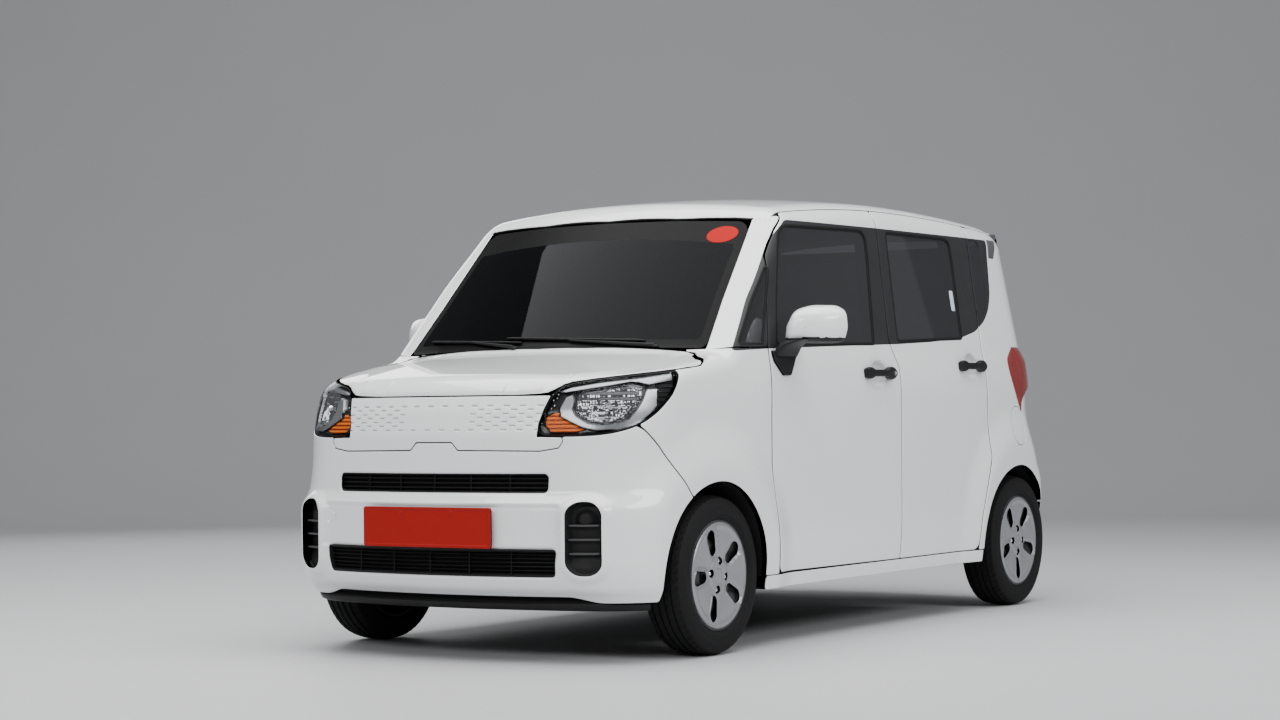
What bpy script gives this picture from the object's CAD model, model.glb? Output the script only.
import bpy, bmesh, math, random
import numpy as np
from mathutils import Vector, Matrix
from mathutils.geometry import delaunay_2d_cdt


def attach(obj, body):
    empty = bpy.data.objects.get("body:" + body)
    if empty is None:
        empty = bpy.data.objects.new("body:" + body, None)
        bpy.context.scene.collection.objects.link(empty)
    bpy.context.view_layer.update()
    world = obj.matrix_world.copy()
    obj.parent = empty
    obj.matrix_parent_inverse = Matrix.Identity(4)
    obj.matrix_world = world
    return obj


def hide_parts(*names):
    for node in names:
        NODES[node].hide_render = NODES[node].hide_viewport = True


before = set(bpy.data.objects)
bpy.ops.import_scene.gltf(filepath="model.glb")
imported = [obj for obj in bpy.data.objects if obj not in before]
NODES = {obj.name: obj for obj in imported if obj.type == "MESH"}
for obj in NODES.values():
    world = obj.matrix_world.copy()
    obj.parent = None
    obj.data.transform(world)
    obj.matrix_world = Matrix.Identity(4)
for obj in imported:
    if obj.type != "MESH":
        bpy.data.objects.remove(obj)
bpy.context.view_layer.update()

rng = np.random.default_rng(7)

# ------------------------------------------------------------------ the car's outer skin, in millimetres: F is 0 on it
YF, YR, HZ = -1152.5, 1367.5, 277.0
BODY_BELT = 1075.0


def ss(a, b, t):
    t = np.clip((t - a) / (b - a), 0.0, 1.0)
    return t * t * (3 - 2 * t)


def smax(a, b, k):
    h = np.maximum(k - np.abs(a - b), 0.0)
    return np.maximum(a, b) + h * h / (4.0 * k)


def smin(a, b, k):
    return -smax(-a, -b, k)


def lin(tab, z):
    return np.interp(z, [p[0] for p in tab], [p[1] for p in tab])


def soft(tab, z, w):
    return (lin(tab, z - w) + 2 * lin(tab, z) + lin(tab, z + w) + 2 * lin(tab, z - w / 2) + 2 * lin(tab, z + w / 2)) / 8


FRONT = [(150, 150), (200, 95), (225, 70), (245, 32), (295, 12), (340, 0), (530, 0), (575, 33), (640, 36), (770, 42), (850, 60), (908, 85), (960, 115), (1000, 150), (1200, 350)]
REAR = [(150, 140), (220, 60), (260, 20), (300, 3), (350, 0), (520, 0), (560, 12), (600, 38), (700, 50), (900, 52), (1050, 60), (1120, 72), (1500, 135), (1560, 138), (1650, 160), (1800, 190)]


def side_x(y, z):
    w = 782.0 - 45 * (np.maximum(-600 - y, 0) / 900.0) ** 2 - 26 * (np.maximum(y - 900, 0) / 800.0) ** 2
    w = w - 22 * (np.maximum(450 - z, 0) / 260.0) ** 2
    w = w - 20 * (np.clip(z - 880, 0, 190) / 190.0) ** 2 - 0.155 * np.maximum(z - 1070, 0)
    df, dr = np.hypot(y - YF, z - HZ), np.hypot(y - YR, z - HZ)
    return w + 27 * (1 - ss(370, 540, df)) + 24 * (1 - ss(400, 590, dr))


def front_y(x, z):
    return -1797.5 + x * x / 3800.0 + soft(FRONT, z, 14)


def rear_y(x, z):
    return 1797.5 - x * x / 4500.0 - soft(REAR, z, 14)


def hood_z(x, y):
    return 975 + (y + 1650) * 0.17 - x * x / 14000.0


def ws_f(x, y, z):
    return (z - (1061 + (y + 1130 - x * x / 4300.0) / 0.971)) / 1.435


def roof_z(x, y):
    return 1700 - np.where(y < 450, 6.6e-5, 3.6e-5) * (y - 450) ** 2 - x * x / 9000.0


def F(x, y, z):
    fs = np.abs(x) - side_x(y, z)
    fcab = smax(ws_f(x, y, z), z - roof_z(x, y), 35)
    ftop = smin((z - hood_z(x, y)) / 1.015, fcab, 30)
    f = smax(fs, front_y(x, z) - y, 220 - 55 * (1 - ss(480, 700, z)))
    f = smax(f, y - rear_y(x, z), 200 - 110 * (1 - ss(540, 860, z)))
    return smax(f, ftop, 50 + 50 * ss(1300, 1600, z))


def hit(o, d, far=2600.0, n=24):
    ox, oy, oz = [np.asarray(c, float) for c in o]
    dx, dy, dz = [np.asarray(c, float) for c in d]
    shape = np.broadcast(ox, oy, oz, dx, dy, dz).shape
    a, b = np.zeros(shape), np.full(shape, far)
    for _ in range(n):
        m = 0.5 * (a + b)
        out = F(ox + dx * m, oy + dy * m, oz + dz * m) > 0
        b = np.where(out, m, b)
        a = np.where(out, a, m)
    return 0.5 * (a + b)


def rx(u, v):                     # (y, z), rays out to the left
    return (0 * u, u, v), (1.0 + 0 * u, 0 * u, 0 * u)


def r_pf(u, v):
    a = np.radians(u)
    return (0 * u, -900.0 + 0 * u, v), (np.sin(a), -np.cos(a), 0 * u)


def r_pr(u, v):
    a = np.radians(u)
    return (0 * u, 700.0 + 0 * u, v), (np.sin(a), np.cos(a), 0 * u)


def r_pp(u, v):
    a = np.radians(u)
    return (0 * u, -200.0 + 0 * u, v), (np.sin(a), -np.cos(a), 0 * u)


def r_z(u, v):                    # (x, y)
    return (u, v, 700.0 + 0 * u), (0 * u, 0 * u, 1.0 + 0 * u)


def r_y(u, v):                    # (x, z) forward
    return (u, 0 * u, v), (0 * u, -1.0 + 0 * u, 0 * u)


def r_yr(u, v):                   # (x, z) backward
    return (u, 0 * u, v), (0 * u, 1.0 + 0 * u, 0 * u)


def r_h(u, v):
    a = np.radians(v)
    return (u, -1050.0 + 0 * u, 700.0 + 0 * u), (0 * u, -np.cos(a), np.sin(a))


# ------------------------------------------------------------------ outlines
def round_poly(pts, seg=7):
    """Corner points (u, v) or (u, v, r) to a plain polygon with rounded corners."""
    out, n = [], len(pts)
    for i in range(n):
        p = np.array(pts[i][:2], float)
        r = pts[i][2] if len(pts[i]) > 2 else 0.0
        if r <= 0:
            out.append(p)
            continue
        a, b = np.array(pts[i - 1][:2], float) - p, np.array(pts[(i + 1) % n][:2], float) - p
        la, lb = np.hypot(*a), np.hypot(*b)
        a, b = a / la, b / lb
        ang = math.acos(max(-1, min(1, float(a @ b))))
        if ang > 3.12:
            out.append(p)
            continue
        t = min(r / math.tan(ang / 2), 0.45 * la, 0.45 * lb)
        rr = t * math.tan(ang / 2)
        bis = (a + b) / np.hypot(*(a + b))
        c = p + bis * (rr / math.sin(ang / 2))
        s, e = p + a * t - c, p + b * t - c
        a0, a1 = math.atan2(s[1], s[0]), math.atan2(e[1], e[0])
        da = (a1 - a0 + math.pi) % (2 * math.pi) - math.pi
        k = max(2, int(seg * abs(da) / 1.2) + 1)
        for j in range(k + 1):
            w = a0 + da * j / k
            out.append(c + rr * np.array([math.cos(w), math.sin(w)]))
    return np.array(out)


def sdf(poly, u, v):
    """Distance inside the polygon, negative outside."""
    P = np.asarray(poly, float)
    Q = np.roll(P, -1, 0)
    u, v = np.asarray(u, float), np.asarray(v, float)
    best = np.full(u.shape, 1e18)
    inside = np.zeros(u.shape, bool)
    for (ax, ay), (bx, by) in zip(P, Q):
        ex, ey = bx - ax, by - ay
        wx, wy = u - ax, v - ay
        t = np.clip((wx * ex + wy * ey) / (ex * ex + ey * ey + 1e-12), 0, 1)
        best = np.minimum(best, (wx - ex * t) ** 2 + (wy - ey * t) ** 2)
        if ay != by:
            c = ((ay > v) != (by > v)) & (u < (bx - ax) * (v - ay) / (by - ay) + ax)
            inside ^= c
    d = np.sqrt(best)
    return np.where(inside, d, -d)


DOOR_F = round_poly([(-757, 261, 30), (-778, 520), (-776, 820), (-765, 1062, 80), (-724, 1245, 300), (-664, 1409, 60), (-610, 1462), (-552, 1515, 60), (-490, 1562, 60), (-440, 1700), (250, 1700), (246, 1560), (206, 1112, 60), (262, 1004, 60), (256, 700), (250, 257)])
DOOR_R = round_poly([(250, 257), (256, 700), (262, 1004, 60), (206, 1112, 60), (246, 1560), (250, 1700), (1140, 1700), (1084, 1565, 200), (1073, 1386, 600), (1064, 1131, 600), (1066, 900, 300), (1070, 640, 60), (1003, 505, 200), (954, 390, 200), (934, 257, 45)])
WIN_F = round_poly([(-699, 1084, 15), (-655, 1250, 600), (-590, 1430, 300), (-530, 1530, 90), (40, 1541, 400), (136, 1541, 50), (130, 1440, 300), (74, 1098, 15)])
WIN_R = round_poly([(283, 1112, 15), (318, 1546, 20), (820, 1549, 300), (898, 1545, 50), (900, 1460, 300), (882, 1134, 15)])
WIN_Q = round_poly([(1080, 1202, 10), (1100, 1557, 10), (1192, 1557, 25), (1204, 1400, 300), (1202, 1300, 90), (1150, 1238, 60)])
WIN_T = round_poly([(-958, 1080, 8), (-797, 1084, 8), (-674, 1366, 5), (-692, 1366, 10), (-817, 1242, 400)])
DLO = round_poly([(-993, 1057, 4), (-753, 1068), (-293, 1083), (281, 1101), (573, 1114), (863, 1135, 200), (1023, 1166, 200), (1133, 1212, 200), (1197, 1262, 200), (1240, 1330, 200), (1270, 1480, 500), (1290, 1566, 8), (1064, 1565), (230, 1560), (-480, 1553, 60), (-609, 1470, 200), (-667, 1412, 300), (-833, 1242, 800)])
HOOD_LINE = [(-1900, 905), (-1690, 905), (-1667, 909), (-1648, 926), (-1632, 939), (-1615, 948), (-1582, 957), (-1535, 965), (-1475, 973), (-1414, 980), (-1325, 990), (-1201, 1003), (-1145, 1025), (-1074, 1043.5), (-1062, 1053), (-1000, 1062), (-900, 1064)]
BUMPER_LINE = [(-1575, 815), (-1523, 785), (-1466, 726), (-1406, 647), (-1329, 557), (-1300, 530)]
HOOD_REAR = [(-760, -1005), (-654, -1036), (-415, -1083), (-200, -1108), (0, -1117), (200, -1108), (415, -1083), (654, -1036), (760, -1005)]
HOOD_UP = np.array([(p[0], p[1] + 2.5) for p in HOOD_LINE] + [(-900, 1300), (-1900, 1300)], float)
HOOD_PLAN = round_poly([(-760, -1900), (760, -1900), (760, -1062), (612, -1062)] + [(p[0], p[1] - 3) for p in reversed(HOOD_REAR[2:-2])] + [(-612, -1062), (-760, -1062)])
FENDER = round_poly([(p[0], p[1] - 2.5) for p in HOOD_LINE[2:13]] + [(-1074, 1044), (-1061.5, 1051.5), (-1059.5, 1062), (-1000, 1065), (-769, 1070.5), (-780, 820), (-782, 520), (-763, 259), (-1300, 259), (-1300, 530)] + [(p[0] + 2, p[1] + 2) for p in reversed(BUMPER_LINE[1:-1])] + [(-1550, 812)])
NOSE = round_poly([(427, 903), (415, 862), (401, 806), (400, 764), (488, 762, 8), (490, 748, 8), (477, 727, 8), (414, 717, 60), (101, 720, 10), (76, 747, 10), (-76, 747, 10), (-101, 720, 10), (-414, 717, 60), (-477, 727, 8), (-490, 748, 8), (-488, 762, 8), (-400, 764), (-401, 806), (-415, 862), (-427, 903)])
PILLAR_FRONT = np.array([(658, 1062), (629, 1244), (606, 1433), (591, 1552), (592, 1566), (760, 1566), (760, 1073), (700, 1066)], float)
WSHIELD = round_poly([(-653, 1068, 20), (-626, 1244, 800), (-603, 1433, 600), (-588, 1545, 60), (-300, 1557), (0, 1560), (300, 1557), (588, 1545, 60), (603, 1433, 600), (626, 1244, 800), (653, 1068, 20), (420, 1074), (0, 1079), (-420, 1074)])
TAILGATE = round_poly([(-560, 612, 60), (-600, 820, 60), (-604, 1110, 200), (-592, 1480, 200), (-562, 1564, 40), (562, 1564, 40), (592, 1480, 200), (604, 1110, 200), (600, 820, 60), (560, 612, 60)])
WIN_B = round_poly([(-540, 1130, 60), (-545, 1340, 200), (-520, 1520, 60), (520, 1520, 60), (545, 1340, 200), (540, 1130, 60)])
QUARTER = round_poly([(938, 259), (958, 388, 200), (1007, 503, 200), (1075, 638, 60), (1071, 900, 300), (1069, 1131, 600), (1078, 1386, 600), (1089, 1565, 200), (1107, 1612), (1800, 1612), (1800, 608), (1566, 608, 10), (1637, 562), (1637, 259)])
TAIL_LAMP = round_poly([(609, 830, 24), (609, 1102, 24), (900, 1106, 5), (900, 822, 5)])
TL_SIDE = round_poly([(1388, 1104, 8), (1318, 1052, 26), (1323, 1008, 60), (1342, 962, 300), (1386, 887, 300), (1433, 826, 5), (1441, 872, 60), (1478, 908, 80), (1545, 926), (1900, 930), (1900, 1104)])
FLAP = round_poly([(1308, 687, 62), (1308, 849, 62), (1438, 849, 62), (1438, 687, 62)])
GRILLE_UP = round_poly([(-444, 576, 17), (-446, 640, 17), (446, 640, 17), (444, 576, 17)])
GRILLE_LOW = round_poly([(-478, 295, 16), (-490, 388, 14), (490, 388, 14), (478, 295, 16)])
FOG = round_poly([(519, 300, 50), (519, 548, 50), (633, 548, 50), (633, 300, 50)])
ROOF_PLAN = np.array([(-641, -548), (-587, -566), (-300, -616), (0, -634), (300, -616), (587, -566), (641, -548), (641, 1502), (-641, 1502)], float)
LAMP_TOP = [(26.2, 800), (26.8, 816), (27.6, 844), (28.4, 872), (29.3, 898), (30.6, 921), (32.0, 934), (34.3, 944), (38.2, 953), (42.8, 961), (47.7, 969), (52.7, 976), (59.2, 985)]
LAMP_BOT = [(26.2, 790), (26.8, 776), (27.7, 768), (30.3, 767), (34.6, 767), (38.6, 770), (41.7, 776), (44.9, 788), (47.1, 800), (49.4, 817), (51.7, 840), (53.6, 864), (55.7, 893), (57.3, 920), (58.1, 946), (59.2, 976)]


def arch(yc, zc, af, ar, b, y, z):
    """Roughly the distance outside a wheel opening made of two half ellipses, open below."""
    a = np.where(y < yc, af, ar)
    dz = np.maximum(z - zc, 0)
    r = np.hypot((y - yc) / a, dz / b)
    return (r - 1.0) * np.where(dz > 0, np.minimum(a, b), a)


def arch_f(y, z):
    return arch(YF, HZ, 328.0, 300.0, 325.0, y, z)


def arch_r(y, z):
    return arch(YR, HZ, 382.0, 306.0, 323.0, y, z)


def lamp_out(x, y, z):
    """Distance outside the left head lamp's outline."""
    phi = np.degrees(np.arctan2(x, -(y + 900.0)))
    r = np.hypot(x, y + 900.0) * math.pi / 180
    a = smax(z - soft(LAMP_TOP, phi, 1.0), soft(LAMP_BOT, phi, 1.0) - z, 10)
    b = np.maximum((26.5 - phi) * r, (phi - 58.9) * r)
    return smax(a, b, 12)


# ------------------------------------------------------------------ meshes
def new_object(name, verts, faces, normals=None, mats=(), mat_index=None, smooth=True):
    me = bpy.data.meshes.new(name)
    me.from_pydata([tuple(v) for v in np.asarray(verts, float) / 1000.0], [], [tuple(int(i) for i in f) for f in faces])
    for m in mats:
        me.materials.append(m)
    if mat_index is not None:
        me.polygons.foreach_set("material_index", np.asarray(mat_index, np.int32))
    if smooth:
        me.polygons.foreach_set("use_smooth", np.ones(len(me.polygons), bool))
    me.update()
    if normals is not None:
        me.normals_split_custom_set_from_vertices([tuple(n) for n in normals])
    ob = bpy.data.objects.new(name, me)
    bpy.context.scene.collection.objects.link(ob)
    return ob


def mirrored(ob, name):
    """The same piece on the car's other side."""
    me = ob.data
    n = len(me.vertices)
    co = np.zeros(n * 3)
    me.vertices.foreach_get("co", co)
    co = co.reshape(-1, 3) * 1000
    co[:, 0] *= -1
    faces = [list(reversed(p.vertices)) for p in me.polygons]
    mi = [p.material_index for p in me.polygons]
    nv = None
    if "vn" in store.get(ob.name, {}):
        nv = store[ob.name]["vn"].copy()
        nv[:, 0] *= -1
    o2 = new_object(name, co, faces, nv, [m for m in me.materials], mi)
    store[name] = {"vn": nv} if nv is not None else {}
    if "angle" in store.get(ob.name, {}):
        store[name]["angle"] = store[ob.name]["angle"]
        sharp(o2, store[ob.name]["angle"])
    return o2


def sharp(ob, angle):
    """Marks the edges that stay hard under smooth shading."""
    bm = bmesh.new()
    bm.from_mesh(ob.data)
    lim = math.radians(angle)
    for e in bm.edges:
        e.smooth = not (len(e.link_faces) != 2 or e.calc_face_angle(0.0) > lim)
    bm.to_mesh(ob.data)
    bm.free()


store = {}


def contour(G, us, vs, level):
    """Level line of a grid, as points (u, v) and pairs of point numbers."""
    A = G - level
    A = np.where(A == 0, 1e-9, A)
    pts, idx, segs = [], {}, []

    def cross(i, j, k, l):
        key = (i, j, k, l)
        if key not in idx:
            t = A[i, j] / (A[i, j] - A[k, l])
            idx[key] = len(pts)
            pts.append((us[i] + (us[k] - us[i]) * t, vs[j] + (vs[l] - vs[j]) * t))
        return idx[key]
    S = A > 0
    mixed = np.argwhere((S[:-1, :-1] != S[1:, :-1]) | (S[:-1, :-1] != S[:-1, 1:]) | (S[:-1, :-1] != S[1:, 1:]))
    for i, j in mixed:
        c = [(i, j), (i + 1, j), (i + 1, j + 1), (i, j + 1)]
        s = [S[p] for p in c]
        es = []
        for a in range(4):
            p, q = c[a], c[(a + 1) % 4]
            if s[a] != s[(a + 1) % 4]:
                key = (p, q) if p < q else (q, p)
                es.append(cross(key[0][0], key[0][1], key[1][0], key[1][1]))
        if len(es) == 2:
            segs.append(tuple(es))
        elif len(es) == 4:
            segs += [(es[0], es[1]), (es[2], es[3])]
    return pts, [s for s in segs if s[0] != s[1]]


def panel(name, ray, ur, vr, g, mats, step=(7.0, 7.0), coarse=2, roll=2.2, wall=16.0, inset=0.0, disp=None, split=None, inner=None, slant=None, extra=(), inner_mat=None, wall_mat=None, uscale=1.0, base=None):
    """One body panel: the part of the skin where g > 0, with rolled edges, walls and, where inner is given, a back face at that depth.
    ray(u, v) gives the rays; g, disp, split and inner take (x, y, z). disp is a depth inwards."""
    us = np.linspace(ur[0], ur[1], max(3, int(abs(ur[1] - ur[0]) * uscale / step[0]) + 1))
    vs = np.linspace(vr[0], vr[1], max(3, int(abs(vr[1] - vr[0]) / step[1]) + 1))

    def point(u, v, full=True):
        if base is not None:
            x, y, z, dx, dy, dz = base(u, v)
        else:
            o, d = ray(u, v)
            t = hit(o, d)
            dx, dy, dz = d
            x, y, z = o[0] + dx * t, o[1] + dy * t, o[2] + dz * t
        if not full:
            return x, y, z
        dep = inset + 0 * x
        gv = g(x, y, z)
        if roll > 0:
            q = np.clip(roll - gv, 0, roll)
            dep = dep + roll - np.sqrt(np.maximum(roll * roll - q * q, 0))
        if disp is not None:
            dep = dep + disp(x, y, z)
        return x - dx * dep, y - dy * dep, z - dz * dep
    U, W = np.meshgrid(us, vs, indexing="ij")
    X, Y, Z = point(U, W, False)
    G = g(X, Y, Z)
    uv, edges = [], []
    bound = None
    for lv in ([0.0, 0.25 * roll, roll] if roll > 0 else [0.0]):
        p, s = contour(G, us, vs, lv)
        k = len(uv)
        uv += p
        segs = [(a + k, b + k) for a, b in s]
        edges += segs
        if bound is None:
            bound = list(segs)
    if split is not None:
        H = split(X, Y, Z)
        p, s = contour(H, us, vs, 0.0)
        k = len(uv)
        uv += p
        edges += [(a + k, b + k) for a, b in s]
    keep = G > max(step) * 0.8 + (roll if roll > 0 else 0)
    if coarse > 1:
        ii, jj = np.meshgrid(np.arange(len(us)), np.arange(len(vs)), indexing="ij")
        fine = (G < 5 * max(step)) & (G > 0)
        for ex in extra:
            fine = fine | (ex(X, Y, Z) > 0)
        keep &= fine | ((ii % coarse == 0) & (jj % coarse == 0))
    if split is not None:
        keep &= np.abs(H) > 0.7 * max(step)
    uv += [(float(a), float(b)) for a, b in zip(U[keep], W[keep])]
    sc = uscale
    res = delaunay_2d_cdt([Vector((p[0] * sc, p[1])) for p in uv], edges, [], 0, 1e-5)
    vco, tris = res[0], res[2]
    orig = res[3]
    P = np.array([(v.x / sc, v.y) for v in vco])
    T = np.array([t for t in tris if len(t) == 3], int)
    cu, cv = P[T].mean(1).T
    cx, cy, cz = point(cu, cv, False)
    cg = g(cx, cy, cz)
    T = T[cg > 0]
    cx, cy, cz = cx[cg > 0], cy[cg > 0], cz[cg > 0]
    u, v = P[:, 0], P[:, 1]
    x, y, z = point(u, v)
    h = 0.35 / sc
    hv = 0.35
    pu1, pu0 = np.array(point(u + h, v)), np.array(point(u - h, v))
    pv1, pv0 = np.array(point(u, v + hv)), np.array(point(u, v - hv))
    N = np.cross((pu1 - pu0).T, (pv1 - pv0).T)
    N /= np.linalg.norm(N, axis=1, keepdims=True) + 1e-12
    V0 = np.array([x, y, z]).T
    if base is not None:
        D = np.array([c + 0 * x for c in base(u, v)[3:]]).T
    else:
        D = np.array([c + 0 * x for c in ray(u, v)[1]]).T
    sg = np.sign((N * D).sum(1))
    N *= sg[:, None]
    # make faces turn the right way
    fn = np.cross(V0[T[:, 1]] - V0[T[:, 0]], V0[T[:, 2]] - V0[T[:, 0]])
    flip = (fn * D[T[:, 0]]).sum(1) < 0
    T[flip] = T[flip][:, ::-1]
    mi = np.zeros(len(T), int)
    if split is not None:
        mi = (split(cx, cy, cz) > 0).astype(int)
    used = np.zeros(len(V0), bool)
    used[T.ravel()] = True
    # boundary edges: those used by one face
    E = np.concatenate([T[:, [0, 1]], T[:, [1, 2]], T[:, [2, 0]]])
    fid = np.concatenate([np.arange(len(T))] * 3)
    key = np.sort(E, 1)
    code = key[:, 0].astype(np.int64) * len(V0) + key[:, 1]
    _, first, cnt = np.unique(code, return_index=True, return_counts=True)
    B = E[first[cnt == 1]]
    bm = mi[fid[first[cnt == 1]]]
    verts, norms, faces, mats_i = [V0], [N], [T], [mi]
    k = len(V0)
    if slant is not None:
        sv = np.array(slant, float)
        down = np.tile(sv, (len(V0), 1))
    else:
        down = -D
    depth = np.full(len(V0), float(wall)) if inner is None else inner(V0[:, 0], V0[:, 1], V0[:, 2]) + 0 * V0[:, 0]
    low = V0 + down * depth[:, None]
    if wall > 0 or inner is not None:
        bv = np.unique(B)
        pos = {int(b): i for i, b in enumerate(bv)}
        # wall normals point sideways, away from the panel
        wn = np.zeros((len(bv), 3))
        for a, b in B:
            e = V0[b] - V0[a]
            n = np.cross(e, -down[a])
            n = -n / (np.linalg.norm(n) + 1e-9)
            wn[pos[int(a)]] += n
            wn[pos[int(b)]] += n
        wn /= np.linalg.norm(wn, axis=1, keepdims=True) + 1e-9
        nb = len(bv)
        verts += [V0[bv], low[bv]]
        norms += [wn, wn]
        q = [(k + pos[int(b)], k + pos[int(a)], k + nb + pos[int(a)], k + nb + pos[int(b)]) for a, b in B]
        wm = [(wall_mat if wall_mat is not None else m) for m in bm]
        k += 2 * nb
    else:
        q, wm = [], []
    all_faces = [tuple(t) for t in T] + q
    all_mi = list(mi) + wm
    if inner is not None:
        iv = np.where(used)[0]
        pos2 = np.full(len(V0), -1)
        pos2[iv] = np.arange(len(iv))
        verts.append(low[iv])
        norms.append(-N[iv])
        all_faces += [tuple(k + pos2[t[::-1]]) for t in T]
        all_mi += [inner_mat if inner_mat is not None else m for m in mi]
        k += len(iv)
    VV, NN = np.concatenate(verts), np.concatenate(norms)
    # drop unused
    uu = np.zeros(len(VV), bool)
    for f in all_faces:
        for i in f:
            uu[i] = True
    new = np.cumsum(uu) - 1
    VV, NN = VV[uu], NN[uu]
    all_faces = [tuple(int(new[i]) for i in f) for f in all_faces]
    ob = new_object(name, VV, all_faces, NN, mats, all_mi)
    store[name] = {"vn": NN}
    return ob


# ------------------------------------------------------------------ materials
def material(name, col, rough=0.45, metal=0.0, coat=0.0, coat_rough=0.04, var=0.05, scale=18.0, rvar=0.06, bump=0.0, bscale=400.0, spec=0.5, sheen=0.0, stretch=None):
    m = bpy.data.materials.new(name)
    m.use_nodes = True
    nt = m.node_tree
    n = nt.nodes
    bs = n["Principled BSDF"]
    tc = n.new("ShaderNodeTexCoord")
    mp = n.new("ShaderNodeMapping")
    nt.links.new(tc.outputs["Object"], mp.inputs["Vector"])
    if stretch:
        mp.inputs["Scale"].default_value = stretch
    a = n.new("ShaderNodeTexNoise")
    a.inputs["Scale"].default_value = scale
    a.inputs["Detail"].default_value = 4.0
    nt.links.new(mp.outputs["Vector"], a.inputs["Vector"])
    r = n.new("ShaderNodeMix")
    r.data_type = "RGBA"
    r.inputs[6].default_value = (*[max(0.0, c * (1 - var)) for c in col], 1)
    r.inputs[7].default_value = (*[min(1.0, c * (1 + var)) for c in col], 1)
    nt.links.new(a.outputs["Fac"], r.inputs[0])
    nt.links.new(r.outputs[2], bs.inputs["Base Color"])
    q = n.new("ShaderNodeMapRange")
    q.inputs["To Min"].default_value = max(0.02, rough - rvar)
    q.inputs["To Max"].default_value = min(1.0, rough + rvar)
    b = n.new("ShaderNodeTexNoise")
    b.inputs["Scale"].default_value = scale * 2.3
    nt.links.new(mp.outputs["Vector"], b.inputs["Vector"])
    nt.links.new(b.outputs["Fac"], q.inputs["Value"])
    nt.links.new(q.outputs["Result"], bs.inputs["Roughness"])
    bs.inputs["Metallic"].default_value = metal
    bs.inputs["Coat Weight"].default_value = coat
    bs.inputs["Coat Roughness"].default_value = coat_rough
    bs.inputs["Specular IOR Level"].default_value = spec
    bs.inputs["Sheen Weight"].default_value = sheen
    if bump > 0:
        c = n.new("ShaderNodeTexNoise")
        c.inputs["Scale"].default_value = bscale
        c.inputs["Detail"].default_value = 3.0
        nt.links.new(mp.outputs["Vector"], c.inputs["Vector"])
        k = n.new("ShaderNodeBump")
        k.inputs["Strength"].default_value = bump
        k.inputs["Distance"].default_value = 0.001
        nt.links.new(c.outputs["Fac"], k.inputs["Height"])
        nt.links.new(k.outputs["Normal"], bs.inputs["Normal"])
    return m


def glassy(name, tint, rough=0.02, base=(0.02, 0.02, 0.022), mix=0.0, refl=1.45):
    """Thin pane: clear light let through with a tint, plus a mirror-like reflection; mix is how much of it is solid."""
    m = bpy.data.materials.new(name)
    m.use_nodes = True
    nt = m.node_tree
    n = nt.nodes
    n.remove(n["Principled BSDF"])
    out = n["Material Output"]
    tr = n.new("ShaderNodeBsdfTransparent")
    tc = n.new("ShaderNodeTexCoord")
    nz = n.new("ShaderNodeTexNoise")
    nz.inputs["Scale"].default_value = 3.0
    nt.links.new(tc.outputs["Object"], nz.inputs["Vector"])
    cm = n.new("ShaderNodeMix")
    cm.data_type = "RGBA"
    cm.inputs[6].default_value = (*[c * 0.93 for c in tint], 1)
    cm.inputs[7].default_value = (*[min(1, c * 1.05) for c in tint], 1)
    nt.links.new(nz.outputs["Fac"], cm.inputs[0])
    nt.links.new(cm.outputs[2], tr.inputs["Color"])
    gl = n.new("ShaderNodeBsdfGlossy")
    gl.inputs["Roughness"].default_value = rough
    gl.inputs["Color"].default_value = (0.95, 0.97, 1.0, 1)
    fr = n.new("ShaderNodeFresnel")
    fr.inputs["IOR"].default_value = refl
    df = n.new("ShaderNodeBsdfDiffuse")
    df.inputs["Color"].default_value = (*base, 1)
    m1 = n.new("ShaderNodeMixShader")
    m1.inputs[0].default_value = mix
    nt.links.new(tr.outputs[0], m1.inputs[1])
    nt.links.new(df.outputs[0], m1.inputs[2])
    m2 = n.new("ShaderNodeMixShader")
    nt.links.new(fr.outputs[0], m2.inputs[0])
    nt.links.new(m1.outputs[0], m2.inputs[1])
    nt.links.new(gl.outputs[0], m2.inputs[2])
    nt.links.new(m2.outputs[0], out.inputs["Surface"])
    return m


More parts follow.
